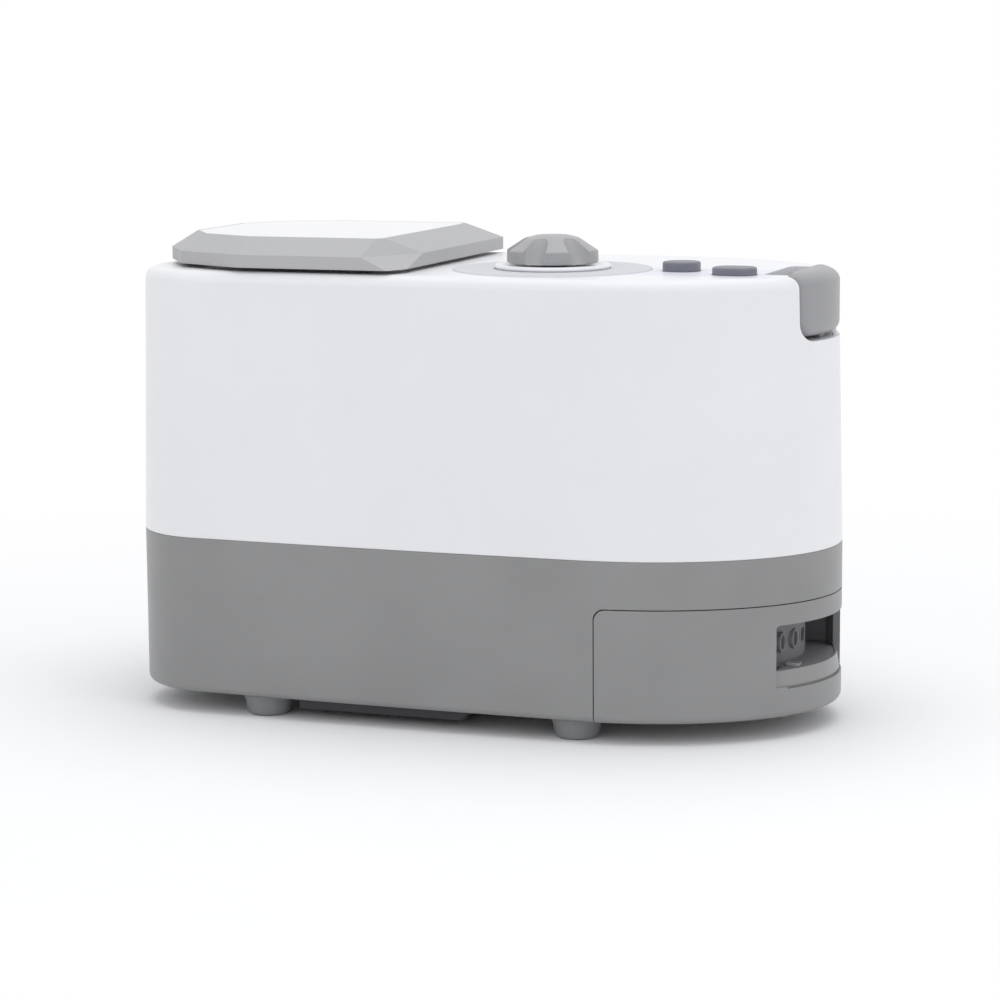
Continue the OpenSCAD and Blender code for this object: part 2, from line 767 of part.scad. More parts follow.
module lid_frame() {
    color([0.7, 0.7, 0.71]) difference() {
        union() {
            difference() {
                stack(lid_foot(0), lid_z0, lid_mid(0), lid_z1, lid_top(0), lid_z2);
                stack(lid_foot(lid_wall), lid_z0 - 0.01, lid_mid(lid_wall), lid_z1 - 1,
                    lid_top(lid_wall), lid_z2 - panel_t - 1.6);
            }
            // hinge bosses beside each ear
            for (s = [-1, 1]) for (t = [-1, 1])
                let (y = s * hinge_ear_y + t * (hinge_ear_w / 2 + 3.3))
                intersection() {
                    block([lid_x0 + 0.2, y - 2.5, lid_z0], [hinge_x + 3, y + 2.5, hinge_z + 3]);
                    stack(lid_foot(0), lid_z0, lid_mid(0), lid_z1, lid_top(0), lid_z2);
                }
        }
        // seat of the panel
        translate([0, 0, lid_z2 - panel_t]) linear_extrude(panel_t + 1)
            polygon(lid_top(panel_rim));
        // slots that clear the ears of the shell
        for (s = [-1, 1])
            block([lid_x0 - 1, s * hinge_ear_y - hinge_ear_w / 2 - 0.8, lid_z0 - 1],
                  [hinge_x + 5, s * hinge_ear_y + hinge_ear_w / 2 + 0.8, hinge_z + 2.7]);
        rod_y(hinge_x, -hinge_bore_y, hinge_bore_y, hinge_z, hinge_pin_d + 2 * run);
    }
}

module lid_panel() {
    color(white) translate([0, 0, lid_z2 - panel_t]) linear_extrude(panel_t)
        polygon(lid_top(panel_rim + 0.15));
}

module hinge_pins() {
    l = hinge_ear_w + 10;
    color(steel) for (s = [-1, 1])
        rod_y(hinge_x, s * hinge_ear_y - l / 2, s * hinge_ear_y + l / 2, hinge_z, hinge_pin_d);
}

module storage_tray() {
    z0 = deck_z - tray_d;
    color([0.8, 0.8, 0.81]) difference() {
        union() {
            translate([0, 0, z0]) linear_extrude(tray_d) polygon(tray_outline(0));
            translate([0, 0, deck_z]) linear_extrude(1) polygon(tray_outline(-tray_flange));
        }
        translate([0, 0, z0 + tray_wall]) linear_extrude(tray_d + 2)
            polygon(tray_outline(tray_wall));
    }
}

// ---------- knob and buttons ----------

dial_t = 0.4;
knob_z0 = deck_z + collar_h + 0.3;
knob_z1 = knob_z0 + knob_band_h;
flute_turn = 25;
flute_tilt = 34;
flute_out = 3.6;

module dial_plate() {
    color([0.82, 0.83, 0.85]) difference() {
        rod(knob_x, knob_y, deck_z, deck_z + dial_t, dial_d);
        rod(knob_x, knob_y, deck_z - 1, deck_z + 2, collar_d + 0.2);
    }
}

module knob_collar() {
    color([0.88, 0.88, 0.9]) difference() {
        rod(knob_x, knob_y, deck_z, deck_z + collar_h, collar_d);
        rod(knob_x, knob_y, deck_z - 1, deck_z + collar_h + 1, 12);
    }
}

module knob() {
    r = knob_d / 2;
    top = knob_z1 + knob_crown_h;
    color([0.62, 0.62, 0.63]) union() {
        difference() {
            translate([knob_x, knob_y, 0]) rotate_extrude() polygon([
                [0, knob_z0], [r, knob_z0], [r, knob_z1], [r * 0.6, top - 1.2],
                [r * 0.35, top], [0, top]]);
            // flutes round the crown, which run out through the band
            for (i = [0:flute_n - 1])
                translate([knob_x, knob_y, knob_z0]) rotate([0, 0, flute_turn + i * 360 / flute_n])
                    translate([r + flute_out, 0, 0]) rotate([0, -flute_tilt, 0])
                        translate([0, 0, -flute_d]) cylinder(h = knob_d, d = flute_d);
        }
        rod(knob_x, knob_y, control_z1 + 7, knob_z0 + 1, shaft_d);
    }
}

control_z0 = board_top_z - 1.6;
control_z1 = board_top_z;

module pressure_control() {
    color(dark) difference() {
        union() {
            rod(knob_x, knob_y, control_z1, control_z1 + 6.6, 17);
            rod(knob_x, knob_y, control_z1, control_z1 + 10.3, 9);
        }
        rod(knob_x, knob_y, control_z1 + 6.8, control_z1 + 20, shaft_d + 2 * run);
    }
}

board_screw_d = 2.5;

module control_board() {
    x0 = knob_x - 30;
    color(board_green) difference() {
        union() {
            block([x0, -50, control_z0], [start_x - 3, 40, control_z1]);
            block([start_x - 4, -34, control_z0], [scoop_x0 - liner_t - 0.9, 14, control_z1]);
            for (p = [[start_x, start_y], [mode_x, mode_y]])
                block([p[0] - 3, p[1] - 3, control_z1 - 0.1],
                      [p[0] + 3, p[1] + 3, control_z1 + switch_h]);
        }
        for (p = control_posts)
            rod(p[0], p[1], control_z0 - 1, control_z1 + 1, board_screw_d + 0.4);
    }
}

switch_h = 3.5;
button_flange = 1.2;

module button(x, y, w, h) {
    edge = 0.8;
    hw = w / 2;
    hd = button_dp / 2;
    top = deck_z + h;
    under = deck_under_z - 0.2;
    color(blue_grey) union() {
        block([x - hw, y - hd, under], [x + hw, y + hd, top - edge]);
        block([x - hw + edge, y - hd + edge, deck_z], [x + hw - edge, y + hd - edge, top]);
        // flange under the deck, and stem over the switch
        block([x - hw, y - hd - button_flange, under - button_flange],
              [x + hw, y + hd + button_flange, under]);
        rod(x, y, control_z1 + switch_h + button_travel + slip, under - 1, 5);
    }
}

// ---------- compressor ----------

pump_x = 68 - body_l / 2;
pump_z = 52;
coil_l = 62;
pump_l = coil_l + 8;
pump_w = 62;
coil_h = 46;
coil_w = 48;
bar_w = 18;
bar_h = 12;
bar_gap = 0.8;
disc_d = 26;
disc_t = 5;
stroke = 1.5;
head_l = 20;
head_bore_l = 7;
head_lug_t = 4;
mount_h = 12;
mount_d = 14;
mount_in = 5;
mount_stem_d = 6;
pump_foot_z = floor_z + mount_h;
pump_foot_t = 3;
pump_mounts_at = [for (x = [-1, 1]) for (y = [-1, 1])
    [pump_x + x * (coil_l / 2 - mount_in), y * (coil_w / 2 - mount_in)]];

module pump_frame() {
    x0 = pump_x - pump_l / 2;
    x1 = pump_x + pump_l / 2;
    color([0.35, 0.35, 0.38]) difference() {
        union() {
            block([x0, -pump_w / 2, pump_foot_z], [x1, pump_w / 2, pump_foot_z + pump_foot_t]);
            block([pump_x - coil_l / 2, -coil_w / 2, pump_foot_z + 2],
                  [pump_x + coil_l / 2, coil_w / 2, pump_z + coil_h / 2]);
        }
        block([x0 - 1, -bar_w / 2 - bar_gap, pump_z - bar_h / 2 - bar_gap],
              [x1 + 1, bar_w / 2 + bar_gap, pump_z + bar_h / 2 + bar_gap]);
        for (p = pump_mounts_at)
            rod(p[0], p[1], pump_foot_z - 1, pump_foot_z + pump_foot_t + 1, mount_stem_d + 0.2);
    }
}

// Distance of a disc's inner face from the middle of the armature
disc_at = coil_l / 2 + stroke + 0.5;
bar_l = 2 * (disc_at + disc_t);

module armature() {
    color(steel) union() {
        block([pump_x - bar_l / 2, -bar_w / 2, pump_z - bar_h / 2],
              [pump_x + bar_l / 2, bar_w / 2, pump_z + bar_h / 2]);
        rod_x(pump_x - disc_at - disc_t, pump_x - disc_at, 0, pump_z, disc_d);
        rod_x(pump_x + disc_at, pump_x + disc_at + disc_t, 0, pump_z, disc_d);
    }
}

module pump_head(s) {
    xa = pump_x + s * pump_l / 2;
    xb = pump_x + s * (pump_l / 2 + head_l);
    lo = min(xa, xb);
    hi = max(xa, xb);
    top = pump_z + coil_h / 2 + head_lug_t;
    lug_l = pump_l / 2 - coil_l / 2 + 6;
    color([0.5, 0.5, 0.53]) difference() {
        union() {
            block([lo, -coil_w / 2, pump_foot_z + pump_foot_t + slip], [hi, coil_w / 2, top]);
            // lug that rests on the coil block
            block([s > 0 ? lo - lug_l : hi - 1, -coil_w / 2, top - head_lug_t + run],
                  [s > 0 ? lo + 1 : hi + lug_l, coil_w / 2, top]);
            if (s > 0)
                rod(feed_x0, 0, top - 1, top + nozzle_l, nozzle_d);
        }
        rod_x(s > 0 ? lo - 1 : hi - head_bore_l, s > 0 ? lo + head_bore_l : hi + 1, 0,
            pump_z, disc_d + 1.6);
        if (s > 0)
            rod(feed_x0, 0, pump_z, top + nozzle_l + 1, passage_d);
    }
}

module pump_mounts() {
    color(rubber) for (p = pump_mounts_at) union() {
        rod(p[0], p[1], floor_z, pump_foot_z, mount_d);
        rod(p[0], p[1], pump_foot_z - 1, pump_foot_z + pump_foot_t + 0.5, mount_stem_d);
    }
}

// ---------- air distributor ----------

valve_x0 = body_l / 2 - 82;
valve_x1 = valve_x0 + 22;
valve_z0 = floor_z + 5;
valve_z1 = port_z + 18;
valve_y = socket_y;
valve_w = 44;
rotor_d = 26;
rotor_t = 6;
rotor_gap = 0.6;
rotor_shaft_d = 5;
valve_screw_x = (valve_x0 + valve_x1) / 2;
valve_screws = [valve_y - valve_w / 2 - 6, valve_y + valve_w / 2 + 6];
valve_lug = 5;
valve_lug_t = 3;
valve_feed_x = valve_x0 + 6;

module valve_body() {
    chamber_x1 = valve_x0 + rotor_gap + rotor_t + 1;
    color([0.85, 0.85, 0.83]) difference() {
        union() {
            block([valve_x0, valve_y - valve_w / 2, valve_z0],
                  [valve_x1, valve_y + valve_w / 2, valve_z1]);
            block([valve_screw_x - valve_lug, valve_screws[0] - valve_lug, valve_z0],
                  [valve_screw_x + valve_lug, valve_screws[1] + valve_lug, valve_z0 + valve_lug_t]);
            for (i = [0:port_n - 1])
                rod_x(valve_x1 - 1, valve_x1 + nozzle_l, port_y(i), port_z, nozzle_d);
            rod(valve_feed_x, valve_y, valve_z1 - 1, valve_z1 + nozzle_l, nozzle_d);
        }
        // chamber of the rotor, open to the motor
        rod_x(valve_x0 - 1, chamber_x1, valve_y, port_z, rotor_d + 2 * run);
        for (i = [0:port_n - 1])
            rod_x(chamber_x1 - 0.5, valve_x1 + nozzle_l + 1, port_y(i), port_z, passage_d);
        rod(valve_feed_x, valve_y, port_z + rotor_d / 2 - 1, valve_z1 + nozzle_l + 1, passage_d);
        for (y = valve_screws)
            rod(valve_screw_x, y, valve_z0 - 1, valve_z0 + valve_lug_t + 1,
                plate_screw_d + 2 * run);
    }
}

module valve_rotor() {
    x0 = valve_x0 + rotor_gap;
    color([0.9, 0.88, 0.8]) difference() {
        union() {
            rod_x(x0, x0 + rotor_t, valve_y, port_z, rotor_d);
            rod_x(valve_x0 - 6, x0 + 1, valve_y, port_z, rotor_shaft_d);
        }
        rod_x(x0 - 1, x0 + rotor_t + 1, valve_y, port_z + port_pitch, passage_d);
    }
}

module valve_motor() {
    x1 = valve_x0 - slip;
    color(steel) difference() {
        union() {
            rod_x(x1 - 18, x1, valve_y, port_z, 34);
            block([x1 - 2, valve_y - 21, port_z - 6], [x1, valve_y + 21, port_z + 6]);
        }
        rod_x(x1 - 8, x1 + 1, valve_y, port_z, rotor_shaft_d + 2 * run);
    }
}

// ---------- air tubes ----------

module outlet_tubes() {
    color([0.86, 0.87, 0.88]) for (i = [0:port_n - 1]) difference() {
        rod_x(valve_x1 + seat, block_x0 - seat, port_y(i), port_z, hose_od);
        rod_x(valve_x1, block_x0, port_y(i), port_z, hose_id);
    }
}

// The feed rises from the right pump head, bends over and comes down on the valve
feed_x0 = pump_x + pump_l / 2 + head_l / 2;
feed_z0 = pump_z + coil_h / 2 + head_lug_t + seat;
feed_z1 = valve_z1 + seat;
feed_top = 100;
feed_r = 14;

module feed_tube() {
    span = norm([valve_feed_x - feed_x0, valve_y]);
    color([0.86, 0.87, 0.88]) translate([feed_x0, 0, 0])
        rotate([0, 0, atan2(valve_y, valve_feed_x - feed_x0)]) difference() {
            feed_path(span, hose_od, 0);
            feed_path(span, hose_id, 1);
        }
}

module feed_path(span, d, over) {
    union() {
        translate([0, 0, feed_z0 - over]) cylinder(h = feed_top - feed_z0 + over, d = d);
        translate([feed_r, 0, feed_top]) rotate([90, 0, 0]) rotate([0, 0, 90])
            rotate_extrude(angle = 90) translate([feed_r, 0]) circle(d = d);
        translate([feed_r, 0, feed_top + feed_r]) rotate([0, 90, 0])
            cylinder(h = span - 2 * feed_r, d = d);
        translate([span - feed_r, 0, feed_top]) rotate([90, 0, 0])
            rotate_extrude(angle = 90) translate([feed_r, 0]) circle(d = d);
        translate([span, 0, feed_z1 - over]) cylinder(h = feed_top - feed_z1 + over, d = d);
    }
}

// ---------- power ----------

board_z = floor_z + 6;
board_x0 = -4;
board_x1 = 26;
board_y0 = -46;
board_y1 = 42;
board_t = 1.6;
cap_d = 10;
cap_h = 20.4;
cap_pitch = 14;
coil_box_l = 6;
coil_box_w = 28;
board_posts = [[0, -42], [0, 38], [22, -42], [22, 38]];

module main_board() {
    z = board_z;
    color(board_green) difference() {
        union() {
            block([board_x0, board_y0, z], [board_x1, board_y1, z + board_t]);
            for (i = [0:2])
                rod(board_x1 - cap_d * 0.8, board_y0 + 16 + i * cap_pitch,
                    z + 1, z + board_t + cap_h, cap_d);
            block([board_x0 + 6, board_y0 + 8, z + 1],
                  [board_x0 + 6 + coil_box_l, board_y0 + 8 + coil_box_w, z + board_t + cap_h + 2]);
        }
        for (p = board_posts) rod(p[0], p[1], z - 1, z + 3, board_screw_d + 0.4);
    }
}

core_l = 22;
core_w = 26;
core_h = 26;
core_yoke = 8;

module transformer() {
    x0 = board_x0 + 4;
    y0 = board_y1 - core_w - 8;
    z0 = board_z + board_t;
    z1 = z0 + core_h;
    color([0.75, 0.65, 0.3]) union() {
        block([x0, y0, z0], [x0 + core_l, y0 + core_w, z0 + core_yoke]);
        block([x0 + 2, y0 + 4, z0 + core_yoke - 1],
              [x0 + core_l - 2, y0 + core_w - 4, z1 - core_yoke + 2]);
        block([x0, y0, z1 - core_yoke + 1], [x0 + core_l, y0 + core_w, z1]);
    }
}

module power_inlet() {
    y1 = half_width(inlet_x, 0);
    y0 = y1 - inlet_l;
    color(dark) union() {
        difference() {
            union() {
                block([inlet_x - inlet_w / 2, y0, inlet_z], [inlet_x + inlet_w / 2, y1, inlet_z + inlet_h]);
                block([inlet_x - inlet_w / 2 - 2, y1 - wall - 3.5, inlet_z - 2],
                      [inlet_x + inlet_w / 2 + 2, y1 - wall - 0.6, inlet_z + inlet_h + 2]);
            }
            block([inlet_x - inlet_w / 2 + inlet_wall, y0 + 3, inlet_z + 3],
                  [inlet_x + inlet_w / 2 - inlet_wall, y1 + 1, inlet_z + inlet_h - 3]);
        }
        for (s = [-1, 1])
            rod_y(inlet_x + s * inlet_w / 6, y0 + 2, y0 + inlet_l * 0.65,
                inlet_z + inlet_h / 2, 2.4);
    }
}

// ---------- fasteners ----------

module case_screws() {
    color(steel) for (p = case_posts) union() {
        rod(p[0], p[1], screw_seat_z - 3, screw_seat_z, screw_head_d);
        rod(p[0], p[1], screw_seat_z - 1, part_z + top_boss_h - 6, screw_d);
    }
}

module board_screws() {
    color(steel) union() {
        for (p = control_posts) union() {
            rod(p[0], p[1], control_z0 - 2, control_z0, 4.5);
            rod(p[0], p[1], control_z0 - 1, control_z1 + 6, board_screw_d);
        }
        for (p = board_posts) union() {
            rod(p[0], p[1], board_z + board_t, board_z + board_t + 1.8, 4.5);
            rod(p[0], p[1], board_z - 6, board_z + 2, board_screw_d);
        }
        for (y = valve_screws) union() {
            rod(valve_screw_x, y, valve_z0 + valve_lug_t, valve_z0 + valve_lug_t + 2, 5.5);
            rod(valve_screw_x, y, floor_z, valve_z0 + valve_lug_t + 1, plate_screw_d);
        }
        for (p = plate_screws) union() {
            rod(p[0], p[1], base_z - plate_t + 0.5, base_z - plate_t + 2, 5.6);
            rod(p[0], p[1], base_z - plate_t + 1, floor_z + 0.8, plate_screw_d);
        }
    }
}

base_shell();
top_shell();
tab_well();
end_cover();
port_block();
socket_frame();
bottom_plate();
filter_pad();
foot(0);  // foot_front_left
foot(1);  // foot_front_right
foot(2);  // foot_rear_left
foot(3);  // foot_rear_right
lid_frame();
lid_panel();
hinge_pins();
storage_tray();
dial_plate();
knob_collar();
knob();
pressure_control();
control_board();
button(start_x, start_y, start_w, start_h);  // button_start
button(mode_x, mode_y, mode_w, mode_h);  // button_mode
release_tab();
release_link();
release_spring();
pump_frame();
armature();
pump_head(-1);  // pump_head_left
pump_head(1);  // pump_head_right
pump_mounts();
valve_body();
valve_rotor();
valve_motor();
feed_tube();
outlet_tubes();
main_board();
transformer();
power_inlet();
case_screws();
board_screws();
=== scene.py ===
"""Looks of a table-top air pump for compression therapy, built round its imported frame.

Sizes stand in millimetres in the classes' fields and become metres in the meshes. +X is the end
with the hose socket, -Y the front, and z = 0 the surface that the pump stands on.
"""

import json
import logging
import math
from dataclasses import dataclass, field
from enum import Enum
from typing import Callable, Optional, Sequence, Union

import bmesh
import bpy
from mathutils import Matrix, Vector

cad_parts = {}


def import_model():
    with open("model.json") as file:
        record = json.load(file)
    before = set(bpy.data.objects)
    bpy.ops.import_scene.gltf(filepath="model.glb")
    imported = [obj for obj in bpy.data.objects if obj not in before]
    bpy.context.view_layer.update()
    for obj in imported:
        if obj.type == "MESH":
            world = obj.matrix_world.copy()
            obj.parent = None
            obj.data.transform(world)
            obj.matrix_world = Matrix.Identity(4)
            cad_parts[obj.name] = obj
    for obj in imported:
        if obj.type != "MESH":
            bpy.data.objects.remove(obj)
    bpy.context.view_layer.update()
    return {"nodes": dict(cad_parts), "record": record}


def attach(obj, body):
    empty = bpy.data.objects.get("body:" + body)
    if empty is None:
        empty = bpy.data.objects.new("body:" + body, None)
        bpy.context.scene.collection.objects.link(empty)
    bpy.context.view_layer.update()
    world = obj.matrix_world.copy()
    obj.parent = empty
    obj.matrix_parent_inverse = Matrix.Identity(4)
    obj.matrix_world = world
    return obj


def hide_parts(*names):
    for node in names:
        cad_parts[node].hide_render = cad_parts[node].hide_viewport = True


LOG = logging.getLogger("air_pump")
Colour = tuple[float, float, float]
Spot = tuple[float, float]
Corner = tuple[float, float, float]
Level = tuple[float, float]

MM = 0.001
WELD = 0.00002
TURN_STEPS = 96
WHITE = (1.0, 1.0, 1.0, 1.0)

UNDERSIDE = 8.0
FLOOR = 10.5
PARTING = 67.0
DECK = 166.8
DRAFT = 2.2
WALL = 2.5
FAR = 150.0
KNOB = (27.0, -16.0)
PORTS = (-16.9, -8.5, -0.1)
PORT_HEIGHT = 32.5
HINGE = (-121.2, 171.2)
EARS = (-15.0, 15.0)
POSTS = ((-110.0, -38.0), (-110.0, 38.0), (76.0, -40.0), (76.0, 40.0))


def mm(x: float, y: float, z: float) -> Vector:
    """A point given in millimetres, in metres."""
    return Vector((x, y, z)) * MM


# ---------------------------------------------------------------- shader maths


class Signal:
    """One output socket of a node. Arithmetic on it adds Math nodes to its graph."""

    def __init__(self, graph: "Graph", socket: bpy.types.NodeSocket) -> None:
        """Wrap a socket of a graph."""
        self.graph = graph
        self.socket = socket

    def math(self, operation: str, first: "Number", second: "Number" = 0.0) -> "Signal":
        """Add a Math node.

        Args:
            operation: Blender's name of the operation.
            first: Its first value or signal.
            second: Its second value or signal.

        Returns:
            The node's result.
        """
        return self.graph.node("ShaderNodeMath", {"operation": operation}, {0: first, 1: second})

    def __add__(self, other: "Number") -> "Signal":
        """Sum with a number or signal."""
        return self.math("ADD", self, other)

    def __radd__(self, other: "Number") -> "Signal":
        """Sum, with the number first."""
        return self.math("ADD", other, self)

    def __sub__(self, other: "Number") -> "Signal":
        """Difference from a number or signal."""
        return self.math("SUBTRACT", self, other)

    def __rsub__(self, other: "Number") -> "Signal":
        """A number less this signal."""
        return self.math("SUBTRACT", other, self)

    def __mul__(self, other: "Number") -> "Signal":
        """Product with a number or signal."""
        return self.math("MULTIPLY", self, other)

    def __rmul__(self, other: "Number") -> "Signal":
        """Product, with the number first."""
        return self.math("MULTIPLY", other, self)

    def __truediv__(self, other: "Number") -> "Signal":
        """Quotient by a number or signal."""
        return self.math("DIVIDE", self, other)

    def __pow__(self, other: "Number") -> "Signal":
        """Power of this signal."""
        return self.math("POWER", self, other)

    def __abs__(self) -> "Signal":
        """Size of this signal."""
        return self.math("ABSOLUTE", self)

    def within(self, reach: float, blur: float) -> "Signal":
        """1 where this signal is nearer to 0 than reach, 0 beyond, soft over blur."""
        return abs(self).step(reach + blur, reach)

    def step(self, start: float, end: float) -> "Signal":
        """Smooth step of this signal from 0 at start to 1 at end."""
        return self.graph.node(
            "ShaderNodeMapRange",
            {"interpolation_type": "SMOOTHSTEP"},
            {0: self, 1: start, 2: end, 3: 0.0, 4: 1.0},
        )

    def beside(self, output: Union[int, str]) -> "Signal":
        """Another output of the same node."""
        return Signal(self.graph, self.socket.node.outputs[output])


Number = Union[float, Signal]


class Graph:
    """Node graph of one material, or of the world."""

    def __init__(self, owner: Union[bpy.types.Material, bpy.types.World]) -> None:
        """Empty the graph of its owner."""
        self.owner = owner
        owner.use_nodes = True
        owner.node_tree.nodes.clear()

    def node(
        self,
        kind: str,
        settings: Optional[dict] = None,
        inputs: Optional[dict] = None,
        out: Union[int, str, None] = 0,
    ) -> Optional[Signal]:
        """Add a node, apply its settings first, and then fill or link its inputs.

        Args:
            kind: Blender's type of the node.
            settings: Attributes of the node, such as a Math node's operation.
            inputs: Values or signals by socket name or number.
            out: The output to return, or None for a node that has none.

        Returns:
            The chosen output, or None.
        """
        tree = self.owner.node_tree
        made = tree.nodes.new(kind)
        for key, value in (settings or {}).items():
            setattr(made, key, value)
        for key, value in (inputs or {}).items():
            if isinstance(value, Signal):
                tree.links.new(value.socket, made.inputs[key])
            else:
                made.inputs[key].default_value = value
        return None if out is None else Signal(self, made.outputs[out])

    def spot(self) -> Signal:
        """Object coordinates."""
        return self.node("ShaderNodeTexCoord", out="Object")

    def axes(self, vector: Signal) -> tuple[Signal, Signal, Signal]:
        """The three parts of a vector."""
        parts = self.node("ShaderNodeSeparateXYZ", None, {0: vector})
        return parts, parts.beside(1), parts.beside(2)

    def stretched(self, vector: Signal, scale: Corner) -> Signal:
        """A vector with each axis multiplied."""
        return self.node(
            "ShaderNodeVectorMath", {"operation": "MULTIPLY"}, {0: vector, 1: scale}
        )

    def noise(self, vector: Signal, size: float, detail: float = 2.0) -> Signal:
        """Noise of about 0.5, whose features are size millimetres across."""
        return self.node(
            "ShaderNodeTexNoise",
            None,
            {"Vector": vector, "Scale": 1 / (size * MM), "Detail": detail, "Roughness": 0.55},
        )

    def mix(self, share: Number, low: Union[Signal, tuple], high: Union[Signal, tuple]) -> Signal:
        """Blend of two colours, low where share is 0."""
        ends = [c if isinstance(c, Signal) else (*c, 1.0) for c in (low, high)]
        return self.node(
            "ShaderNodeMix", {"data_type": "RGBA"}, {0: share, 6: ends[0], 7: ends[1]}, out=2
        )

    def bump(self, height: Signal, depth: float) -> Signal:
        """Normal of a relief whose height signal runs from 0 to 1, depth millimetres deep."""
        return self.node(
            "ShaderNodeBump", None, {"Strength": 1.0, "Distance": depth * MM, "Height": height}
        )

    def surface(self, shader: Signal, output: str = "Material") -> None:
        """Make a shader the surface of the material, or of the world."""
        self.node("ShaderNodeOutput" + output, None, {"Surface": shader}, out=None)


# ---------------------------------------------------------------- finishes


@dataclass(frozen=True)
class Finish:
    """Satin moulded plastic, and the base of the other finishes."""

    name: str
    colour: Colour
    roughness: float = 0.42
    grain: float = 0.5
    relief: float = 0.006
    mottle: float = 0.03

    def material(self) -> bpy.types.Material:
        """Return the material of this finish's name.

        Returns:
            One that exists, be it the frame's own or made before, and else a new one.
        """
        found = bpy.data.materials.get(self.name)
        if found is not None:
            return found
        graph = Graph(bpy.data.materials.new(self.name))
        spot = graph.spot()
        inputs = {
            "Base Color": self.tint(graph, spot),
            "Roughness": self.polish(graph, spot),
            "Normal": graph.bump(self.texture(graph, spot), self.relief),
            **self.fixed(),
        }
        graph.surface(graph.node("ShaderNodeBsdfPrincipled", None, inputs))
        return graph.owner

    def shade(self, factor: float) -> Colour:
        """This finish's colour, lighter or darker by a factor."""
        return tuple(min(1.0, part * factor) for part in self.colour)

    def tint(self, graph: Graph, spot: Signal) -> Signal:
        """Colour over the surface: slow variation as a moulding shows."""
        cloud = graph.noise(spot, 38.0, 3.0).step(0.32, 0.68)
        return graph.mix(cloud, self.shade(1 - self.mottle), self.shade(1 + self.mottle))

    def polish(self, graph: Graph, spot: Signal) -> Signal:
        """Roughness over the surface: handled patches are a little smoother."""
        patch = graph.noise(spot, 24.0, 4.0).step(0.3, 0.75)
        return self.roughness + 0.07 * (patch - 0.5)

    def texture(self, graph: Graph, spot: Signal) -> Signal:
        """Height of the surface's fine texture, from 0 to 1."""
        return graph.noise(spot, self.grain, 1.0)

    def fixed(self) -> dict:
        """Values that are the same all over the surface."""
        return {"IOR": 1.46}


@dataclass(frozen=True)
class DeckShell(Finish):
    """White shell, with a pale printed field round the buttons on its deck."""

    field_low: Spot = (63.0, -33.0)
    field_high: Spot = (112.0, -1.0)
    deck: float = 166.6
    print_colour: Colour = (0.66, 0.69, 0.80)

    def tint(self, graph: Graph, spot: Signal) -> Signal:
        """White, tinted inside the printed field."""
        x, y, z = graph.axes(spot)
        middle = [(a + b) / 2 * MM for a, b in zip(self.field_low, self.field_high)]
        reach = [(b - a) / 2 * MM for a, b in zip(self.field_low, self.field_high)]
        field = (x - middle[0]).within(reach[0], 0.003) * (y - middle[1]).within(reach[1], 0.003)
        field = field * z.step(self.deck * MM - 0.0003, self.deck * MM)
        return graph.mix(field * 0.55, super().tint(graph, spot), self.print_colour)


@dataclass(frozen=True)
class SocketMoulding(Finish):
    """Moulding of the hose socket, with painted shade darkening its floor and rear, and its ports
    painted black as painted shade of deep holes.
    """

    # Radius round each port's axis inside which the bore is painted black: painted shade of a deep
    # hole, not a real lining.
    liner: float = 2.85
    blur: float = 0.08
    # Span along Y over which painted shade darkens the socket towards its rear.
    painted_shade_span: Spot = (-14.0, 4.0)
    # Heights over which painted shade darkens the socket's floor.
    shade_top: Spot = (27.5, 24.5)
    # Black of the painted shade in the ports.
    dark: Colour = (0.003, 0.003, 0.003)
    # Colour of the painted shade on the socket's floor and rear.
    shaded: Colour = (0.022, 0.022, 0.021)

    def tint(self, graph: Graph, spot: Signal) -> Signal:
        """Grey front, painted shade in its depth, and black painted shade in the ports."""
        _, y, z = graph.axes(spot)
        # Painted shade: darker towards the socket's rear (+Y), and on its floor.
        depth = y.step(*(part * MM for part in self.painted_shade_span))
        floor = z.step(*(part * MM for part in self.shade_top)) * 0.75
        depth = depth.math("MAXIMUM", depth, floor)
        ground = graph.mix(depth, super().tint(graph, spot), self.shaded)
        # Painted shade: the bore of each port is painted black, for the shade deep inside it.
        rise = z - PORT_HEIGHT * MM
        rings = [((y - port * MM) * (y - port * MM) + rise * rise) ** 0.5 for port in PORTS]
        nearest = rings[0].math("MINIMUM", rings[0], rings[1])
        nearest = nearest.math("MINIMUM", nearest, rings[2])
        liner = nearest.step(self.liner * MM, (self.liner - self.blur) * MM)
        return graph.mix(liner, ground, self.dark)

    def fixed(self) -> dict:
        """A matt skin with little shine."""
        return {"IOR": 1.25}


@dataclass(frozen=True)
class Rubber(Finish):
    """Matt rubber with a dusty bloom."""

    roughness: float = 0.72
    grain: float = 0.3
    relief: float = 0.02
    mottle: float = 0.08

    def tint(self, graph: Graph, spot: Signal) -> Signal:
        """Rubber colour under an uneven bloom."""
        bloom = graph.noise(spot, 3.0, 4.0).step(0.45, 0.8)
        return graph.mix(bloom * 0.25, super().tint(graph, spot), self.shade(1.5))

    def fixed(self) -> dict:
        """A faint sheen at grazing angles."""
        return {"IOR": 1.5, "Sheen Weight": 0.12, "Sheen Roughness": 0.5}


@dataclass(frozen=True)
class BrushedMetal(Finish):
    """Drawn or ground steel, its lines along X."""

    roughness: float = 0.32
    relief: float = 0.008
    mottle: float = 0.06

    def texture(self, graph: Graph, spot: Signal) -> Signal:
        """Long fine lines."""
        return graph.noise(graph.stretched(spot, (0.05, 1.0, 1.0)), 0.25, 2.0)

    def fixed(self) -> dict:
        """Full metal."""
        return {"Metallic": 1.0}


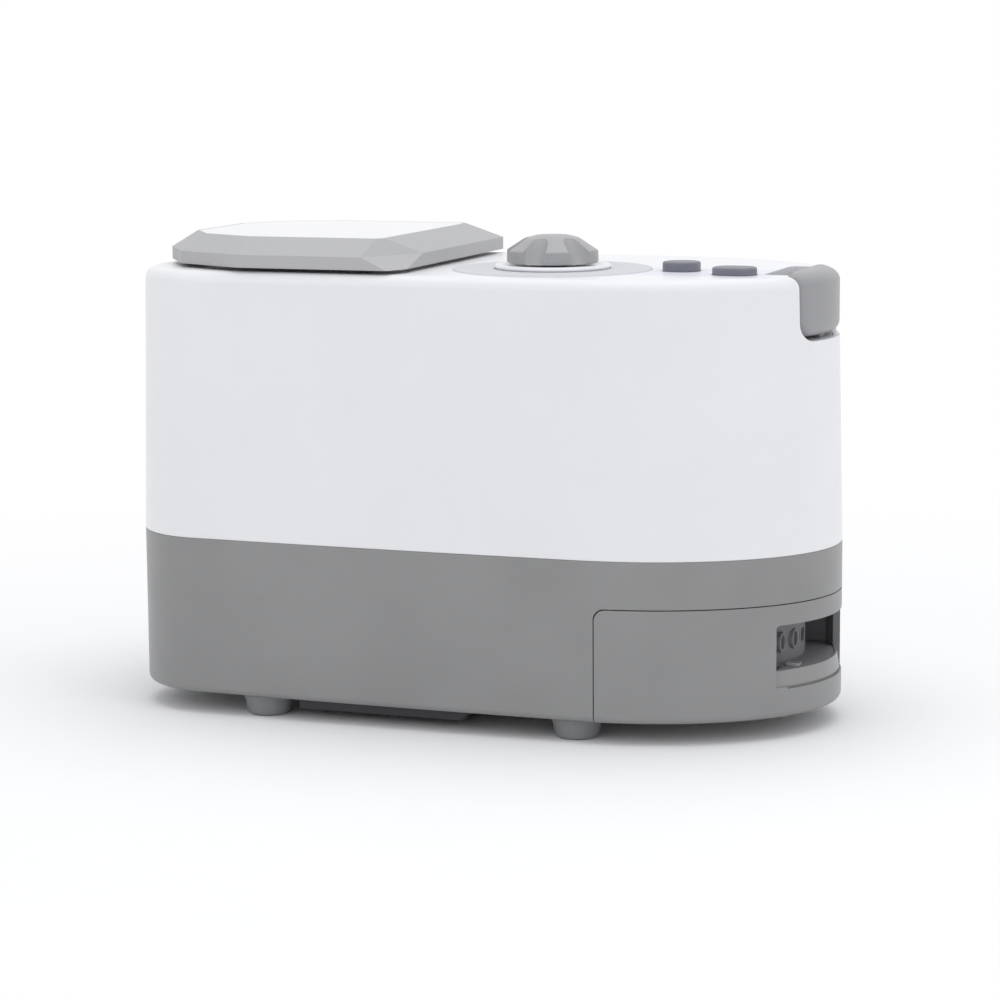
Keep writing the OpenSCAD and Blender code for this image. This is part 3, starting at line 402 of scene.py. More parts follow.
@dataclass(frozen=True)
class CastMetal(Finish):
    """Die-cast alloy or stacked iron, with a coarse skin."""

    roughness: float = 0.5
    grain: float = 0.9
    relief: float = 0.05
    mottle: float = 0.12
    laminated: bool = False

    def texture(self, graph: Graph, spot: Signal) -> Signal:
        """Coarse grain, with the edges of the sheets where it is laminated."""
        skin = super().texture(graph, spot)
        if not self.laminated:
            return skin
        sheets = graph.node(
            "ShaderNodeTexWave",
            {"bands_direction": "X"},
            {"Vector": spot, "Scale": 320.0, "Distortion": 0.4},
            out="Fac",
        )
        return sheets * 0.8 + skin * 0.2

    def fixed(self) -> dict:
        """Full metal."""
        return {"Metallic": 0.9}


@dataclass(frozen=True)
class Laminate(Finish):
    """Coated circuit board with tracks under its solder mask."""

    roughness: float = 0.3

    def tracks(self, graph: Graph, spot: Signal) -> Signal:
        """1 on a track, 0 between tracks."""
        rows = {"Scale": 95.0, "Mortar Size": 0.035, "Brick Width": 0.9, "Row Height": 0.22}
        return graph.node(
            "ShaderNodeTexBrick", {"offset": 0.5}, {"Vector": spot, **rows}, out="Fac"
        )

    def tint(self, graph: Graph, spot: Signal) -> Signal:
        """Green, lighter over the copper."""
        return graph.mix(self.tracks(graph, spot), super().tint(graph, spot), self.shade(2.2))

    def texture(self, graph: Graph, spot: Signal) -> Signal:
        """Tracks stand a hair above the board."""
        return self.tracks(graph, spot)

    def fixed(self) -> dict:
        """The mask's clear coat."""
        return {"Coat Weight": 0.4, "Coat Roughness": 0.15}


@dataclass(frozen=True)
class OpenFoam(Finish):
    """Open-cell filter foam."""

    roughness: float = 0.95
    relief: float = 0.5

    def cells(self, graph: Graph, spot: Signal) -> Signal:
        """Distance from the middle of the nearest cell."""
        return graph.node("ShaderNodeTexVoronoi", None, {"Vector": spot, "Scale": 900.0})

    def tint(self, graph: Graph, spot: Signal) -> Signal:
        """Painted shade in the hollows of the cells, with lighter webs between them."""
        # The cell pattern is the foam's own; its darkness in the hollows, where the bump sinks, is
        # painted shade.
        return graph.mix(
            self.cells(graph, spot).step(0.2, 0.7), self.shade(0.4), self.shade(1.7)
        )

    def texture(self, graph: Graph, spot: Signal) -> Signal:
        """Cells are hollows."""
        return self.cells(graph, spot)


@dataclass(frozen=True)
class Winding(Finish):
    """Coil under turns of yellow tape."""

    relief: float = 0.12
    roughness: float = 0.38

    def turns(self, graph: Graph, spot: Signal) -> Signal:
        """Edges of the turns of tape."""
        return graph.node(
            "ShaderNodeTexWave",
            {"bands_direction": "Z", "wave_profile": "SAW"},
            {"Vector": spot, "Scale": 42.0, "Distortion": 0.8, "Detail": 1.0},
            out="Fac",
        )

    def tint(self, graph: Graph, spot: Signal) -> Signal:
        """Tape that darkens at each overlap."""
        return graph.mix(self.turns(graph, spot), self.shade(0.7), self.shade(1.15))

    def texture(self, graph: Graph, spot: Signal) -> Signal:
        """Each turn laps the next."""
        return self.turns(graph, spot)


@dataclass(frozen=True)
class DialPrint(Finish):
    """Pale dial with a printed scale of plain ticks and a swelling arc round the knob."""

    centre: Spot = KNOB
    ink: Colour = (0.16, 0.17, 0.21)
    ticks: int = 11
    sweep: float = 270.0
    tick_low: float = 26.5
    tick_high: float = 30.5
    arc: float = 33.5

    def tint(self, graph: Graph, spot: Signal) -> Signal:
        """Pale ground with the ticks and the arc inked on it."""
        x, y, _ = graph.axes(spot)
        x, y = x - self.centre[0] * MM, y - self.centre[1] * MM
        radius = (x * x + y * y) ** 0.5
        turn = x.math("ARCTAN2", x, y) * (180 / math.pi)
        gap = self.sweep / (self.ticks - 1)
        place = turn / gap + 0.5
        off = abs(place.math("FLOORED_MODULO", place, 1.0) - 0.5) * gap
        tick = off.step(1.3, 0.9) * (radius - (self.tick_low + self.tick_high) / 2 * MM).within(
            (self.tick_high - self.tick_low) / 2 * MM, 0.0002
        )
        swell = (0.5 - turn / self.sweep) * 0.0014 + 0.0002
        band = abs(radius - self.arc * MM) - swell
        ink = tick.math("MAXIMUM", tick, band.step(0.0002, 0.0))
        ink = ink * turn.within(self.sweep / 2 + 1.5, 0.5)
        return graph.mix(ink * 0.8, super().tint(graph, spot), self.ink)


PALETTE: dict[str, Finish] = {
    "white_case": DeckShell("white_shell", (0.81, 0.81, 0.832), roughness=0.36, mottle=0.008),
    "grey_case": Finish("grey_base", (0.262, 0.262, 0.262), roughness=0.38),
    "socket_grey": SocketMoulding("socket_grey", (0.215, 0.215, 0.21), roughness=0.5),
    "dark_plastic": Finish("dark_plastic", (0.075, 0.075, 0.078), roughness=0.5),
    "foam": OpenFoam("filter_foam", (0.05, 0.05, 0.055)),
    "foot_rubber": Rubber("foot_rubber", (0.235, 0.24, 0.242)),
    "lid_grey": Finish("lid_grey", (0.205, 0.205, 0.205), roughness=0.4),
    "pale_plastic": Finish("pale_plastic", (0.60, 0.60, 0.61), roughness=0.45),
    "dial_print": DialPrint("dial_print", (0.72, 0.725, 0.75), roughness=0.4, mottle=0.01),
    "knob_grey": Finish("knob_grey", (0.19, 0.19, 0.19), roughness=0.33),
    "board": Laminate("board_green", (0.02, 0.11, 0.05)),
    "button_blue_grey": Rubber("button_rubber", (0.165, 0.17, 0.205), roughness=0.55),
    "tab_grey": Finish("tab_grey", (0.285, 0.285, 0.285), roughness=0.3),
    "steel": BrushedMetal("steel", (0.58, 0.58, 0.60)),
    "coil_iron": CastMetal("coil_iron", (0.16, 0.16, 0.17), laminated=True),
    "cast_alloy": CastMetal("cast_alloy", (0.46, 0.46, 0.48)),
    "hose": Rubber("clear_hose", (0.58, 0.6, 0.61), roughness=0.3),
    "coil_tape": Winding("coil_tape", (0.62, 0.46, 0.07)),
}


# ---------------------------------------------------------------- solids


class Combine(Enum):
    """Ways to combine two solids."""

    CUT = "DIFFERENCE"
    JOIN = "UNION"
    SHARE = "INTERSECT"


class Solid:
    """A closed bmesh. The operators -, | and & cut, join and intersect it with another."""

    def __init__(self, bm: Optional[bmesh.types.BMesh] = None) -> None:
        """Hold a bmesh, or start an empty one."""
        self.bm = bm or bmesh.new()

    @classmethod
    def through(cls, rings: Sequence[Sequence[Vector]]) -> "Solid":
        """Close a solid through rings of points that have the same count.

        Args:
            rings: The rings from one end to the other, each in the same turning direction.

        Returns:
            The capped solid.
        """
        made = cls()
        loops = []
        for ring in rings:
            verts = bmesh.ops.create_circle(made.bm, segments=len(ring), radius=1.0)["verts"]
            for vert, place in zip(verts, ring):
                vert.co = place
            loops.append(list(dict.fromkeys(edge for vert in verts for edge in vert.link_edges)))
        for low, high in zip(loops, loops[1:]):
            bmesh.ops.bridge_loops(made.bm, edges=low + high)
        for loop in (loops[0], loops[-1]):
            bmesh.ops.contextual_create(made.bm, geom=loop)
        return made.outward()

    @classmethod
    def block(cls, low: Corner, high: Corner) -> "Solid":
        """Box between two corners in millimetres."""
        made = cls()
        verts = bmesh.ops.create_cube(made.bm, size=1.0)["verts"]
        start, end = mm(*low), mm(*high)
        bmesh.ops.scale(made.bm, verts=verts, vec=end - start)
        bmesh.ops.translate(made.bm, verts=verts, vec=(start + end) / 2)
        return made

    @classmethod
    def slab(cls, corners: Sequence[Spot], low: float, high: float) -> "Solid":
        """Upright solid of a plan outline between two heights."""
        return cls.through([[mm(x, y, z) for x, y in corners] for z in (low, high)])

    @classmethod
    def rod(cls, start: Corner, end: Corner, diameter: float, steps: int = 48) -> "Solid":
        """Round rod between two points."""
        made = cls()
        a, b = mm(*start), mm(*end)
        verts = bmesh.ops.create_cone(
            made.bm,
            cap_ends=True,
            segments=steps,
            radius1=diameter / 2 * MM,
            radius2=diameter / 2 * MM,
            depth=(b - a).length,
        )["verts"]
        turn = (b - a).to_track_quat("Z", "Y").to_matrix()
        bmesh.ops.rotate(made.bm, verts=verts, matrix=turn)
        bmesh.ops.translate(made.bm, verts=verts, vec=(a + b) / 2)
        return made

    @classmethod
    def turned(cls, profile: Sequence[Spot], centre: Spot, closed: bool = False) -> "Solid":
        """Spin a profile of radius and height about an upright axis.

        Args:
            profile: Points from the foot to the top, in millimetres.
            centre: Place of the axis.
            closed: Whether the profile is a loop, as of a ring.

        Returns:
            The turned solid.
        """
        made = cls()
        verts = [
            bmesh.ops.create_vert(made.bm, co=mm(centre[0] + radius, centre[1], height))["vert"][0]
            for radius, height in profile
        ]
        pairs = list(zip(verts, verts[1:])) + ([(verts[-1], verts[0])] if closed else [])
        for pair in pairs:
            bmesh.ops.contextual_create(made.bm, geom=pair)
        bmesh.ops.spin(
            made.bm,
            geom=made.bm.verts[:] + made.bm.edges[:],
            cent=mm(*centre, 0.0),
            axis=(0.0, 0.0, 1.0),
            angle=2 * math.pi,
            steps=TURN_STEPS,
            use_merge=True,
        )
        bmesh.ops.remove_doubles(made.bm, verts=made.bm.verts[:], dist=WELD)
        return made.outward()

    @classmethod
    def gathered(cls, solids: Sequence["Solid"]) -> "Solid":
        """Put solids that stand apart into one."""
        made = cls()
        for solid in solids:
            mesh = bpy.data.meshes.new("gathered")
            solid.bm.to_mesh(mesh)
            made.bm.from_mesh(mesh)
            bpy.data.meshes.remove(mesh)
        return made

    def outward(self) -> "Solid":
        """Turn every face outwards."""
        bmesh.ops.recalc_face_normals(self.bm, faces=self.bm.faces[:])
        return self

    def combined(self, tool: "Solid", way: Combine) -> "Solid":
        """Combine with another solid by the exact Boolean.

        Args:
            tool: The other solid, which is kept.
            way: How to combine them.

        Returns:
            A new solid.
        """
        body, other = (solid.as_object("work") for solid in (self, tool))
        step = body.modifiers.new("combine", "BOOLEAN")
        step.solver = "EXACT"
        step.operation = way.value
        step.object = other
        made = Solid()
        held = body.evaluated_get(bpy.context.evaluated_depsgraph_get())
        made.bm.from_mesh(held.to_mesh())
        held.to_mesh_clear()
        for each in (body, other):
            mesh = each.data
            bpy.data.objects.remove(each)
            bpy.data.meshes.remove(mesh)
        bmesh.ops.remove_doubles(made.bm, verts=made.bm.verts[:], dist=WELD)
        bmesh.ops.dissolve_degenerate(made.bm, edges=made.bm.edges[:], dist=WELD)
        return made

    def __sub__(self, tool: "Solid") -> "Solid":
        """Cut another solid away."""
        return self.combined(tool, Combine.CUT)

    def __or__(self, tool: "Solid") -> "Solid":
        """Join another solid on."""
        return self.combined(tool, Combine.JOIN)

    def __and__(self, tool: "Solid") -> "Solid":
        """Keep what both solids share."""
        return self.combined(tool, Combine.SHARE)

    def eased(
        self,
        width: float,
        segments: int = 3,
        angle: float = 32.0,
        where: Callable[[Vector], bool] = lambda place: True,
    ) -> "Solid":
        """Round the sharp edges.

        Args:
            width: Width of the rounding in millimetres.
            segments: Faces across it.
            angle: Least angle in degrees between faces at a sharp edge.
            where: Test of an edge's middle in millimetres, for only some of the edges.

        Returns:
            This solid.
        """
        sharp = [
            edge
            for edge in self.bm.edges
            if edge.is_manifold
            and edge.calc_face_angle(0.0) > math.radians(angle)
            and where((edge.verts[0].co + edge.verts[1].co) / 2 / MM)
        ]
        bmesh.ops.bevel(
            self.bm,
            geom=sharp,
            offset=width * MM,
            offset_type="OFFSET",
            affect="EDGES",
            segments=segments,
            profile=0.5,
            material=-1,
            clamp_overlap=True,
        )
        return self

    def as_object(self, name: str) -> bpy.types.Object:
        """Return a new object that holds a copy of this solid."""
        mesh = bpy.data.meshes.new(name)
        self.bm.to_mesh(mesh)
        made = bpy.data.objects.new(name, mesh)
        bpy.context.scene.collection.objects.link(made)
        return made


@dataclass(frozen=True)
class Piece:
    """Where a finished solid belongs: its name, CAD body, material slot and CAD nodes."""

    name: str
    body: str
    slot: str
    nodes: tuple[str, ...]
    smooth: float = 34.0

    def fit(self, solid: Solid) -> bpy.types.Object:
        """Turn a solid into this piece of the scene.

        Args:
            solid: The finished form.

        Returns:
            The piece's object, riding on its body.
        """
        made = solid.as_object(self.name)
        made.data.materials.append(PALETTE[self.slot].material())
        made.data.shade_smooth()
        made.data.set_sharp_from_angle(angle=math.radians(self.smooth))
        made.modifiers.new("even_shading", "WEIGHTED_NORMAL").keep_sharp = True
        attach(made, self.body)
        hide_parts(*self.nodes)
        LOG.info("%s: %d faces, on %s", self.name, len(made.data.polygons), self.body)
        return made


# ---------------------------------------------------------------- the case's outline


def quarter(start: Level, end: Level, steps: int) -> list[Level]:
    """Levels along a quarter ellipse that leaves start upright and meets end flat.

    Args:
        start: Height and inset where the surface is upright.
        end: Height and inset where it is level.
        steps: Number of faces along it.

    Returns:
        The levels, start and end included.
    """
    turns = [math.pi / 2 * i / steps for i in range(steps + 1)]
    return [
        (
            start[0] + (end[0] - start[0]) * math.sin(turn),
            start[1] + (end[1] - start[1]) * (1 - math.cos(turn)),
        )
        for turn in turns
    ]


@dataclass(frozen=True)
class CaseOutline:
    """Plan of the case: straight left end, bowed sides, half-ellipse right end."""

    length: float = 264.0
    width: float = 119.7
    bow: float = 3.2
    end_reach: float = 80.0
    corner: float = 31.3
    end_steps: int = 44
    side_steps: int = 24
    corner_steps: int = 16

    @property
    def steps(self) -> int:
        """Number of faces round one half."""
        return self.end_steps + self.side_steps + self.corner_steps

    def place(self, index: int, inset: float, height: float) -> Vector:
        """One point of the outline.

        Args:
            index: Its number, from the right tip and anticlockwise.
            inset: How far the outline is drawn in.
            height: Its height.

        Returns:
            The point in metres.
        """
        back = index <= self.steps
        step = index if back else 2 * self.steps + 1 - index
        half, left = self.width / 2 - inset, inset - self.length / 2
        corner, end = self.corner - inset, self.end_reach - inset
        middle = self.length / 2 - self.end_reach
        if step <= self.end_steps:
            turn = math.pi / 2 * step / self.end_steps
            x, y = middle + end * math.cos(turn), half * math.sin(turn)
        elif step <= self.end_steps + self.side_steps:
            share = (step - self.end_steps) / self.side_steps
            x, y = middle + (left + corner - middle) * share, half
        else:
            turn = math.pi / 2 * (step - self.end_steps - self.side_steps) / self.corner_steps
            x = left + corner - corner * math.sin(turn)
            y = half - corner + corner * math.cos(turn)
        y += self.swell(x) * min(1.0, y / (self.width / 2))
        return mm(x, y if back else -y, height)

    def swell(self, x: float) -> float:
        """How far the side bows out at x."""
        return self.bow * (1 - (x / (self.length / 2)) ** 2)

    def end_x(self, y: float, inset: float) -> float:
        """How far the right end reaches at y."""
        share = y / (self.width / 2 + 1 - inset)
        return self.length / 2 - self.end_reach + (self.end_reach - inset) * math.sqrt(
            1 - share * share
        )

    def loft(self, levels: Sequence[Level]) -> Solid:
        """Solid through the outline at levels of height and inset, from the lowest up."""
        count = 2 * self.steps + 1
        return Solid.through([[self.place(i, d, z) for i in range(count)] for z, d in levels])

    def upright(self, low: float, high: float, inset: float) -> Solid:
        """Solid of the outline between two heights."""
        return self.loft([(low, inset), (high, inset)])


OUTLINE = CaseOutline()


def draw_in(height: float) -> float:
    """How far the upper case is drawn in at a height."""
    return DRAFT * (height - PARTING) / (DECK - PARTING)


def drum(x: float, y: float, low: float, high: float, diameter: float) -> Solid:
    """Upright rod."""
    return Solid.rod((x, y, low), (x, y, high), diameter)


def rounded(width: float, low: float, high: float, radius: float, steps: int = 8) -> list[Spot]:
    """Front view of a plate that is open upwards, with rounded lower corners.

    Args:
        width: Its width.
        low: Height of its foot.
        high: Height of its top.
        radius: Radius of the lower corners.
        steps: Faces round each corner.

    Returns:
        Its corners as y and z.
    """
    half = width / 2
    turns = [math.pi / 2 * i / steps for i in range(steps + 1)]
    right = [
        (half - radius + radius * math.sin(t), low + radius - radius * math.cos(t)) for t in turns
    ]
    return [*right, (half, high), (-half, high), *[(-y, z) for y, z in reversed(right)]]


def across(profile: Sequence[Spot], start: float, end: float) -> Solid:
    """Solid of a y and z profile between two places along the case."""
    return Solid.through([[mm(x, y, z) for y, z in profile] for x in (start, end)])


def along(profile: Sequence[Spot], start: float, end: float) -> Solid:
    """Solid of an x and z profile between two places across the case."""
    return Solid.through([[mm(x, y, z) for x, z in profile] for y in (start, end)])


@dataclass(frozen=True)
class Octagon:
    """Long octagon: deep cuts at its left corners, and a pair of lesser cuts at the right."""

    left: float
    right: float
    half: float
    left_cut: float
    right_cut: float
    right_drop: float

    def corners(self, inset: float = 0.0) -> list[Spot]:
        """Its corners, drawn in."""
        x0, x1, hw = self.left + inset, self.right - inset, self.half - inset
        cut = self.left_cut - 0.6 * inset
        front = [
            (x0, cut - hw),
            (x0 + cut, -hw),
            (x1 - self.right_cut, -hw),
            (x1, self.right_drop - hw),
        ]
        return front + [(x, -y) for x, y in reversed(front)]


@dataclass(frozen=True)
class LidOutline(Octagon):
    """Outline of the lid, with two facets at each left corner and a small cut at the rear."""

    rear_cut: float = 3.0

    def corners(self, inset: float = 0.0) -> list[Spot]:
        """Its corners, drawn in."""
        x0, x1, hw = self.left + inset, self.right - inset, self.half - inset
        cut = self.left_cut - 0.6 * inset
        left = [(x0, cut - hw), (x0 + 0.4 * cut, 0.4 * cut - hw), (x0 + 1.26 * cut, -hw)]
        right = [
            (x1 - self.right_cut, -hw),
            (x1, self.right_drop - hw),
            (x1, hw - self.rear_cut),
            (x1 - self.rear_cut, hw),
        ]
        return left + right + [(x, -y) for x, y in reversed(left)]


TRAY = Octagon(-110.0, -26.0, 42.0, 15.0, 3.0, 3.0)


# ---------------------------------------------------------------- release tab and its notch


@dataclass
class ReleaseTab:
    """Rounded tab in its notch at the right end, and the well behind it."""

    width: float = 48.0
    low: float = 144.8
    high: float = 167.8
    back: float = 118.5
    radius: float = 6.0
    edge: float = 3.4
    gap: float = 1.6
    side_gap: float = 0.6
    scoop_left: float = 108.05
    scoop_half: float = 20.0
    scoop_floor: float = 150.8
    stem: Spot = (120.0, 125.0)
    stem_half: float = 4.0
    stem_gap: float = 0.3
    link_top: float = 138.9

    def notch(self) -> Solid:
        """Space of the notch, which reaches out of the case."""
        return across(
            rounded(
                self.width + 2 * self.side_gap,
                self.low - self.gap,
                DECK + 20,
                self.radius + self.side_gap,
            ),
            self.back - 0.3,
            FAR,
        )

    def scoop(self) -> Solid:
        """Space for a fingertip behind the tab."""
        hollow = Solid.block(
            (self.scoop_left, -self.scoop_half, self.scoop_floor),
            (self.back, self.scoop_half, DECK + 5),
        )
        return hollow.eased(2.4, 4, where=lambda p: p.x < self.back - 1 and p.z < DECK + 4)

    def well(self, liner: float = 1.6) -> Solid:
        """Box behind the notch with the scoop in it."""
        half = self.width / 2 + self.side_gap + 2
        box = Solid.block(
            (self.scoop_left - liner, -self.scoop_half - liner, self.scoop_floor - liner),
            (self.back - 0.3, self.scoop_half + liner, DECK),
        ) | Solid.block((self.back - 2.3, -half, self.low - self.gap - 2), (FAR, half, DECK))
        (x0, x1), hole = self.stem, self.stem_half + self.stem_gap
        stem = Solid.block((x0 - self.stem_gap, -hole, 133.0), (x1 + self.stem_gap, hole, 144.5))
        return ((box & UpperCase().skin(WALL + 0.3)) - self.notch() - self.scoop()) - stem

    def section(self, y: float) -> list[Vector]:
        """Closed outline of the tab at a place across it.

        Args:
            y: The place, within the tab's half width.

        Returns:
            Points up its outer face, and down its back.
        """
        inset = DRAFT - 0.3
        foot = quarter((self.low + 4.0, inset), (self.low, inset + 3.4), 7)[::-1]
        crown = quarter((self.high - 4.6, inset), (self.high, inset + 6.4), 9)
        past = max(0.0, abs(y) - self.width / 2 + self.radius)
        lift = self.radius - math.sqrt(max(0.0, self.radius**2 - past**2))
        over = max(0.0, abs(y) - self.width / 2 + self.edge)
        back = self.edge - math.sqrt(max(0.0, self.edge**2 - over**2))
        height, least = self.high - self.low, self.back + 1.0
        face = []
        for level, inset in [*foot, *crown]:
            x = OUTLINE.end_x(y, inset) - back
            z = level + lift * (self.high - level) / height
            if z < self.low + height / 2:
                x = max(least, x)
            elif x < least:
                x, z = face[-1][0] - 0.02, face[-1][1] + 0.01
            face.append((x, z))
        outer = [mm(x, y, z) for x, z in face]
        return [*outer, mm(self.back, y, face[-1][1]), mm(self.back, y, self.low + lift)]

    def tab(self) -> Solid:
        """The tab, rounded all round its outer face, with its stem."""
        half, steps = self.width / 2 - 0.05, 12
        bend = [math.pi / 2 * i / steps for i in range(steps + 1)]
        side = [half - self.radius + self.radius * math.sin(turn) for turn in bend]
        middle = [(half - self.radius) * i / 8 for i in range(8)]
        right = [*middle, *side]
        places = [-y for y in reversed(right[1:])] + right
        body = Solid.through([self.section(y) for y in places])
        (x0, x1), half = self.stem, self.stem_half
        stem = Solid.block((x0, -half, self.link_top + 1.1), (x1, half, self.low + 3))
        flange = Solid.block(
            (x0 - 1, -half - 3, self.link_top), (x1 + 1, half + 3, self.link_top + 2)
        )
        return body | (stem | flange)

    def build(self) -> None:
        """Fit the tab and its well."""
        Piece("release_lever", "release", "tab_grey", ("release_tab",), 50.0).fit(self.tab())
        Piece("tab_surround", "housing", "white_case", ("tab_well",)).fit(self.well().eased(0.3))


# ---------------------------------------------------------------- upper case


@dataclass
class UpperCase:
    """White upper case with its deck openings and hinge ears."""

    edge: float = 4.5
    ear_half: float = 2.5
    ear_radius: float = 2.2
    shaft_hole: float = 10.0
    post: float = 11.0
    screw_hole: float = 4.1

    def skin(self, inset: float) -> Solid:
        """Outer surface of the upper case, drawn in."""
        deck = DECK - 1.2 * inset
        shoulder = deck - self.edge
        drawn = inset + draw_in(DECK - self.edge)
        foot = quarter((PARTING + 0.5, 0), (PARTING, 0.5), 4)[::-1]
        if inset:
            foot = [(PARTING - 1, inset)]
        side = [(z, inset + draw_in(z)) for z in (85.0, 105.0, 125.0, 145.0)]
        return OUTLINE.loft(
            [*foot, *side, *quarter((shoulder, drawn), (deck, drawn + self.edge), 10)]
        )

    def ear(self, y: float) -> Solid:
        """Hinge ear that stands on the deck."""
        x, z = HINGE
        near, far, reach = y - self.ear_half, y + self.ear_half, self.ear_radius
        root = Solid.block((x - reach, near, DECK - 2.5), (x + reach, far, z))
        return Solid.rod((x, near, z), (x, far, z), 2 * reach, 32) | root

    def build(self, buttons: "PushButtons") -> None:
        """Fit the upper case.

        Args:
            buttons: The push buttons, whose holes it has.
        """
        notch, scoop = ReleaseTab().notch(), ReleaseTab().scoop()
        shell = self.skin(0.0) - self.skin(WALL)
        openings = [
            Solid.slab(TRAY.corners(-0.3), DECK - 10, DECK + 5),
            drum(*KNOB, DECK - 10, DECK + 5, self.shaft_hole),
            *buttons.holes(),
        ]
        shell = (shell - Solid.gathered(openings)) - (notch | scoop)
        shell.eased(0.35, 3, where=lambda p: p.z > PARTING + 2)
        for y in EARS:
            shell = shell | self.ear(y)
        for x, y in POSTS:
            post = drum(x, y, PARTING + 0.3, PARTING + 18, self.post)
            shell = shell | (post - drum(x, y, PARTING - 1, PARTING + 15, self.screw_hole))
        Piece("upper_case", "housing", "white_case", ("top_shell",)).fit(shell)


# ---------------------------------------------------------------- base


@dataclass
class BaseCase:
    """Grey base, its feet, and the filter cover under it."""

    cover_left: float = 57.4
    cover_top: float = 49.8
    cover_radius: float = 4.0
    post: float = 11.0
    screw_head: float = 7.0
    screw_hole: float = 4.1
    seam: float = 0.4
    vent: float = 4.0
    vent_pitch: Spot = (7.0, 8.0)
    inlet_low: Corner = (-3.2, 40.0, 27.8)
    inlet_high: Corner = (23.2, 80.0, 45.2)
    middle: float = -26.25
    plate_low: float = UNDERSIDE - 5
    plate_side: tuple[Spot, Spot] = ((-62.0, -61.0), (3.2, 9.5))
    plate_half: float = 54.0
    slot_half: Spot = (1.5, 12.0)
    pad_low: Corner = (-47.25, -16.0, 4.6)
    pad_high: Corner = (-5.25, 16.0, 7.8)
    pad_gap: float = 0.3
    plate_screws: tuple[Spot, ...] = ((-54.0, -49.0), (-54.0, 49.0), (1.5, -49.0), (1.5, 49.0))
    feet: tuple[tuple[str, float], ...] = (("left", -75.0), ("right", 47.4))
    feet_half: float = 50.0

    def columns(self) -> list[float]:
        """Places along the case of the vents and slots."""
        return [self.middle + i * self.vent_pitch[0] for i in range(-2, 3)]

    def zone(self, grow: float) -> Solid:
        """Space that the end cover takes, widened."""
        left, top, radius = self.cover_left - grow, self.cover_top + grow, self.cover_radius
        turns = [math.pi / 2 * i / 8 for i in range(9)]
        bend = [
            (left + radius - radius * math.cos(t), top - radius + radius * math.sin(t))
            for t in turns
        ]
        side = [(left, -5.0), *bend, (FAR, top), (FAR, -5.0)]
        return along(side, -100.0, 100.0)

    def skin(self) -> Solid:
        """Outer surface of the base."""
        foot = quarter((FLOOR, 0.0), (UNDERSIDE, WALL), 6)[::-1]
        lip = quarter((PARTING - self.seam, 0.0), (PARTING, self.seam), 4)
        return OUTLINE.loft([*foot, (30.0, 0.0), (48.0, 0.0), *lip])

    def shell(self) -> Solid:
        """Base with its wall, the ledge behind the end cover's seam and its holes."""
        ledge = self.zone(3.0) - self.zone(-4.0)
        hollow = OUTLINE.upright(FLOOR, PARTING + 1, WALL) - ledge
        core = OUTLINE.upright(FLOOR, PARTING + 1, WALL + 2)
        cover = self.zone(0.0) - OUTLINE.upright(UNDERSIDE + 0.5, self.cover_top + 9, WALL + 0.3)
        body = ((self.skin() - hollow) - core) - cover
        for post in POSTS:
            body = body | drum(*post, FLOOR - 1, PARTING - 0.3, self.post)
        holes = [drum(*post, UNDERSIDE - 1, UNDERSIDE + 12, self.screw_head) for post in POSTS]
        vents = [
            drum(x, row * self.vent_pitch[1], UNDERSIDE - 1, FLOOR + 1, self.vent)
            for x in self.columns()
            for row in (-1, 0, 1)
        ]
        inlet = Solid.block(self.inlet_low, self.inlet_high)
        body = body - Solid.gathered([*holes, *vents, inlet])
        bores = [drum(*post, UNDERSIDE - 1, PARTING + 1, self.screw_hole) for post in POSTS]
        return (body - Solid.gathered(bores)).eased(
            0.3, 2, where=lambda p: p.z < PARTING - 2 and not 11 < p.z < 27
        )

    def foot(self, x: float, y: float) -> Solid:
        """Tapered rubber foot with a hollow in its sole."""
        profile = [
            (0.0, 1.0), (4.2, 1.0), (5.0, 0.2), (5.6, 0.0), (6.9, 0.0), (7.7, 0.5), (8.1, 1.4),
            (9.1, 6.2), (9.75, 6.8), (9.75, 8.0), (2.5, 8.0), (2.5, 13.5), (0.0, 13.5),
        ]
        return Solid.turned(profile, (x, y))

    def plate(self) -> Solid:
        """Filter cover with slots and screw wells."""
        low, (left, right) = self.plate_low, self.plate_side
        side = [(left[0], UNDERSIDE), (left[1], low), (right[0], low), (right[1], UNDERSIDE)]
        body = along(side, self.plate_half, -self.plate_half).eased(0.8)
        half, reach = self.slot_half
        slots = [
            Solid.block((x - half, -reach, low - 1), (x + half, reach, low + 2))
            for x in self.columns()
        ]
        wells = [drum(*screw, low - 1, low + 2, 6.2) for screw in self.plate_screws]
        (x0, y0, _), (x1, y1, _), gap = self.pad_low, self.pad_high, self.pad_gap
        tray = Solid.block((x0 - gap, y0 - gap, low + 1.5), (x1 + gap, y1 + gap, UNDERSIDE + 1))
        body = (body - tray) - Solid.gathered([*slots, *wells])
        holes = [drum(*screw, low - 1, 9.0, 3.1) for screw in self.plate_screws]
        return (body - Solid.gathered(holes)).eased(0.25, 2, where=lambda p: p.z < low + 0.1)

    def pad(self) -> Solid:
        """Foam pad with soft edges."""
        return Solid.block(self.pad_low, self.pad_high).eased(0.9, 4)

    def build(self) -> None:
        """Fit the base, its feet, the filter cover and its pad."""
        Piece("base_case", "housing", "grey_case", ("base_shell",)).fit(self.shell())
        for row, y in (("front", -self.feet_half), ("rear", self.feet_half)):
            for side, x in self.feet:
                name = row + "_" + side
                foot = self.foot(x, y).eased(0.25, 2)
                Piece("foot_pad_" + name, "housing", "foot_rubber", ("foot_" + name,)).fit(foot)
        Piece("filter_cover", "housing", "dark_plastic", ("bottom_plate",)).fit(self.plate())
        pad = Piece("filter_foam", "housing", "foam", ("filter_pad",)).fit(self.pad())


# ---------------------------------------------------------------- hose socket


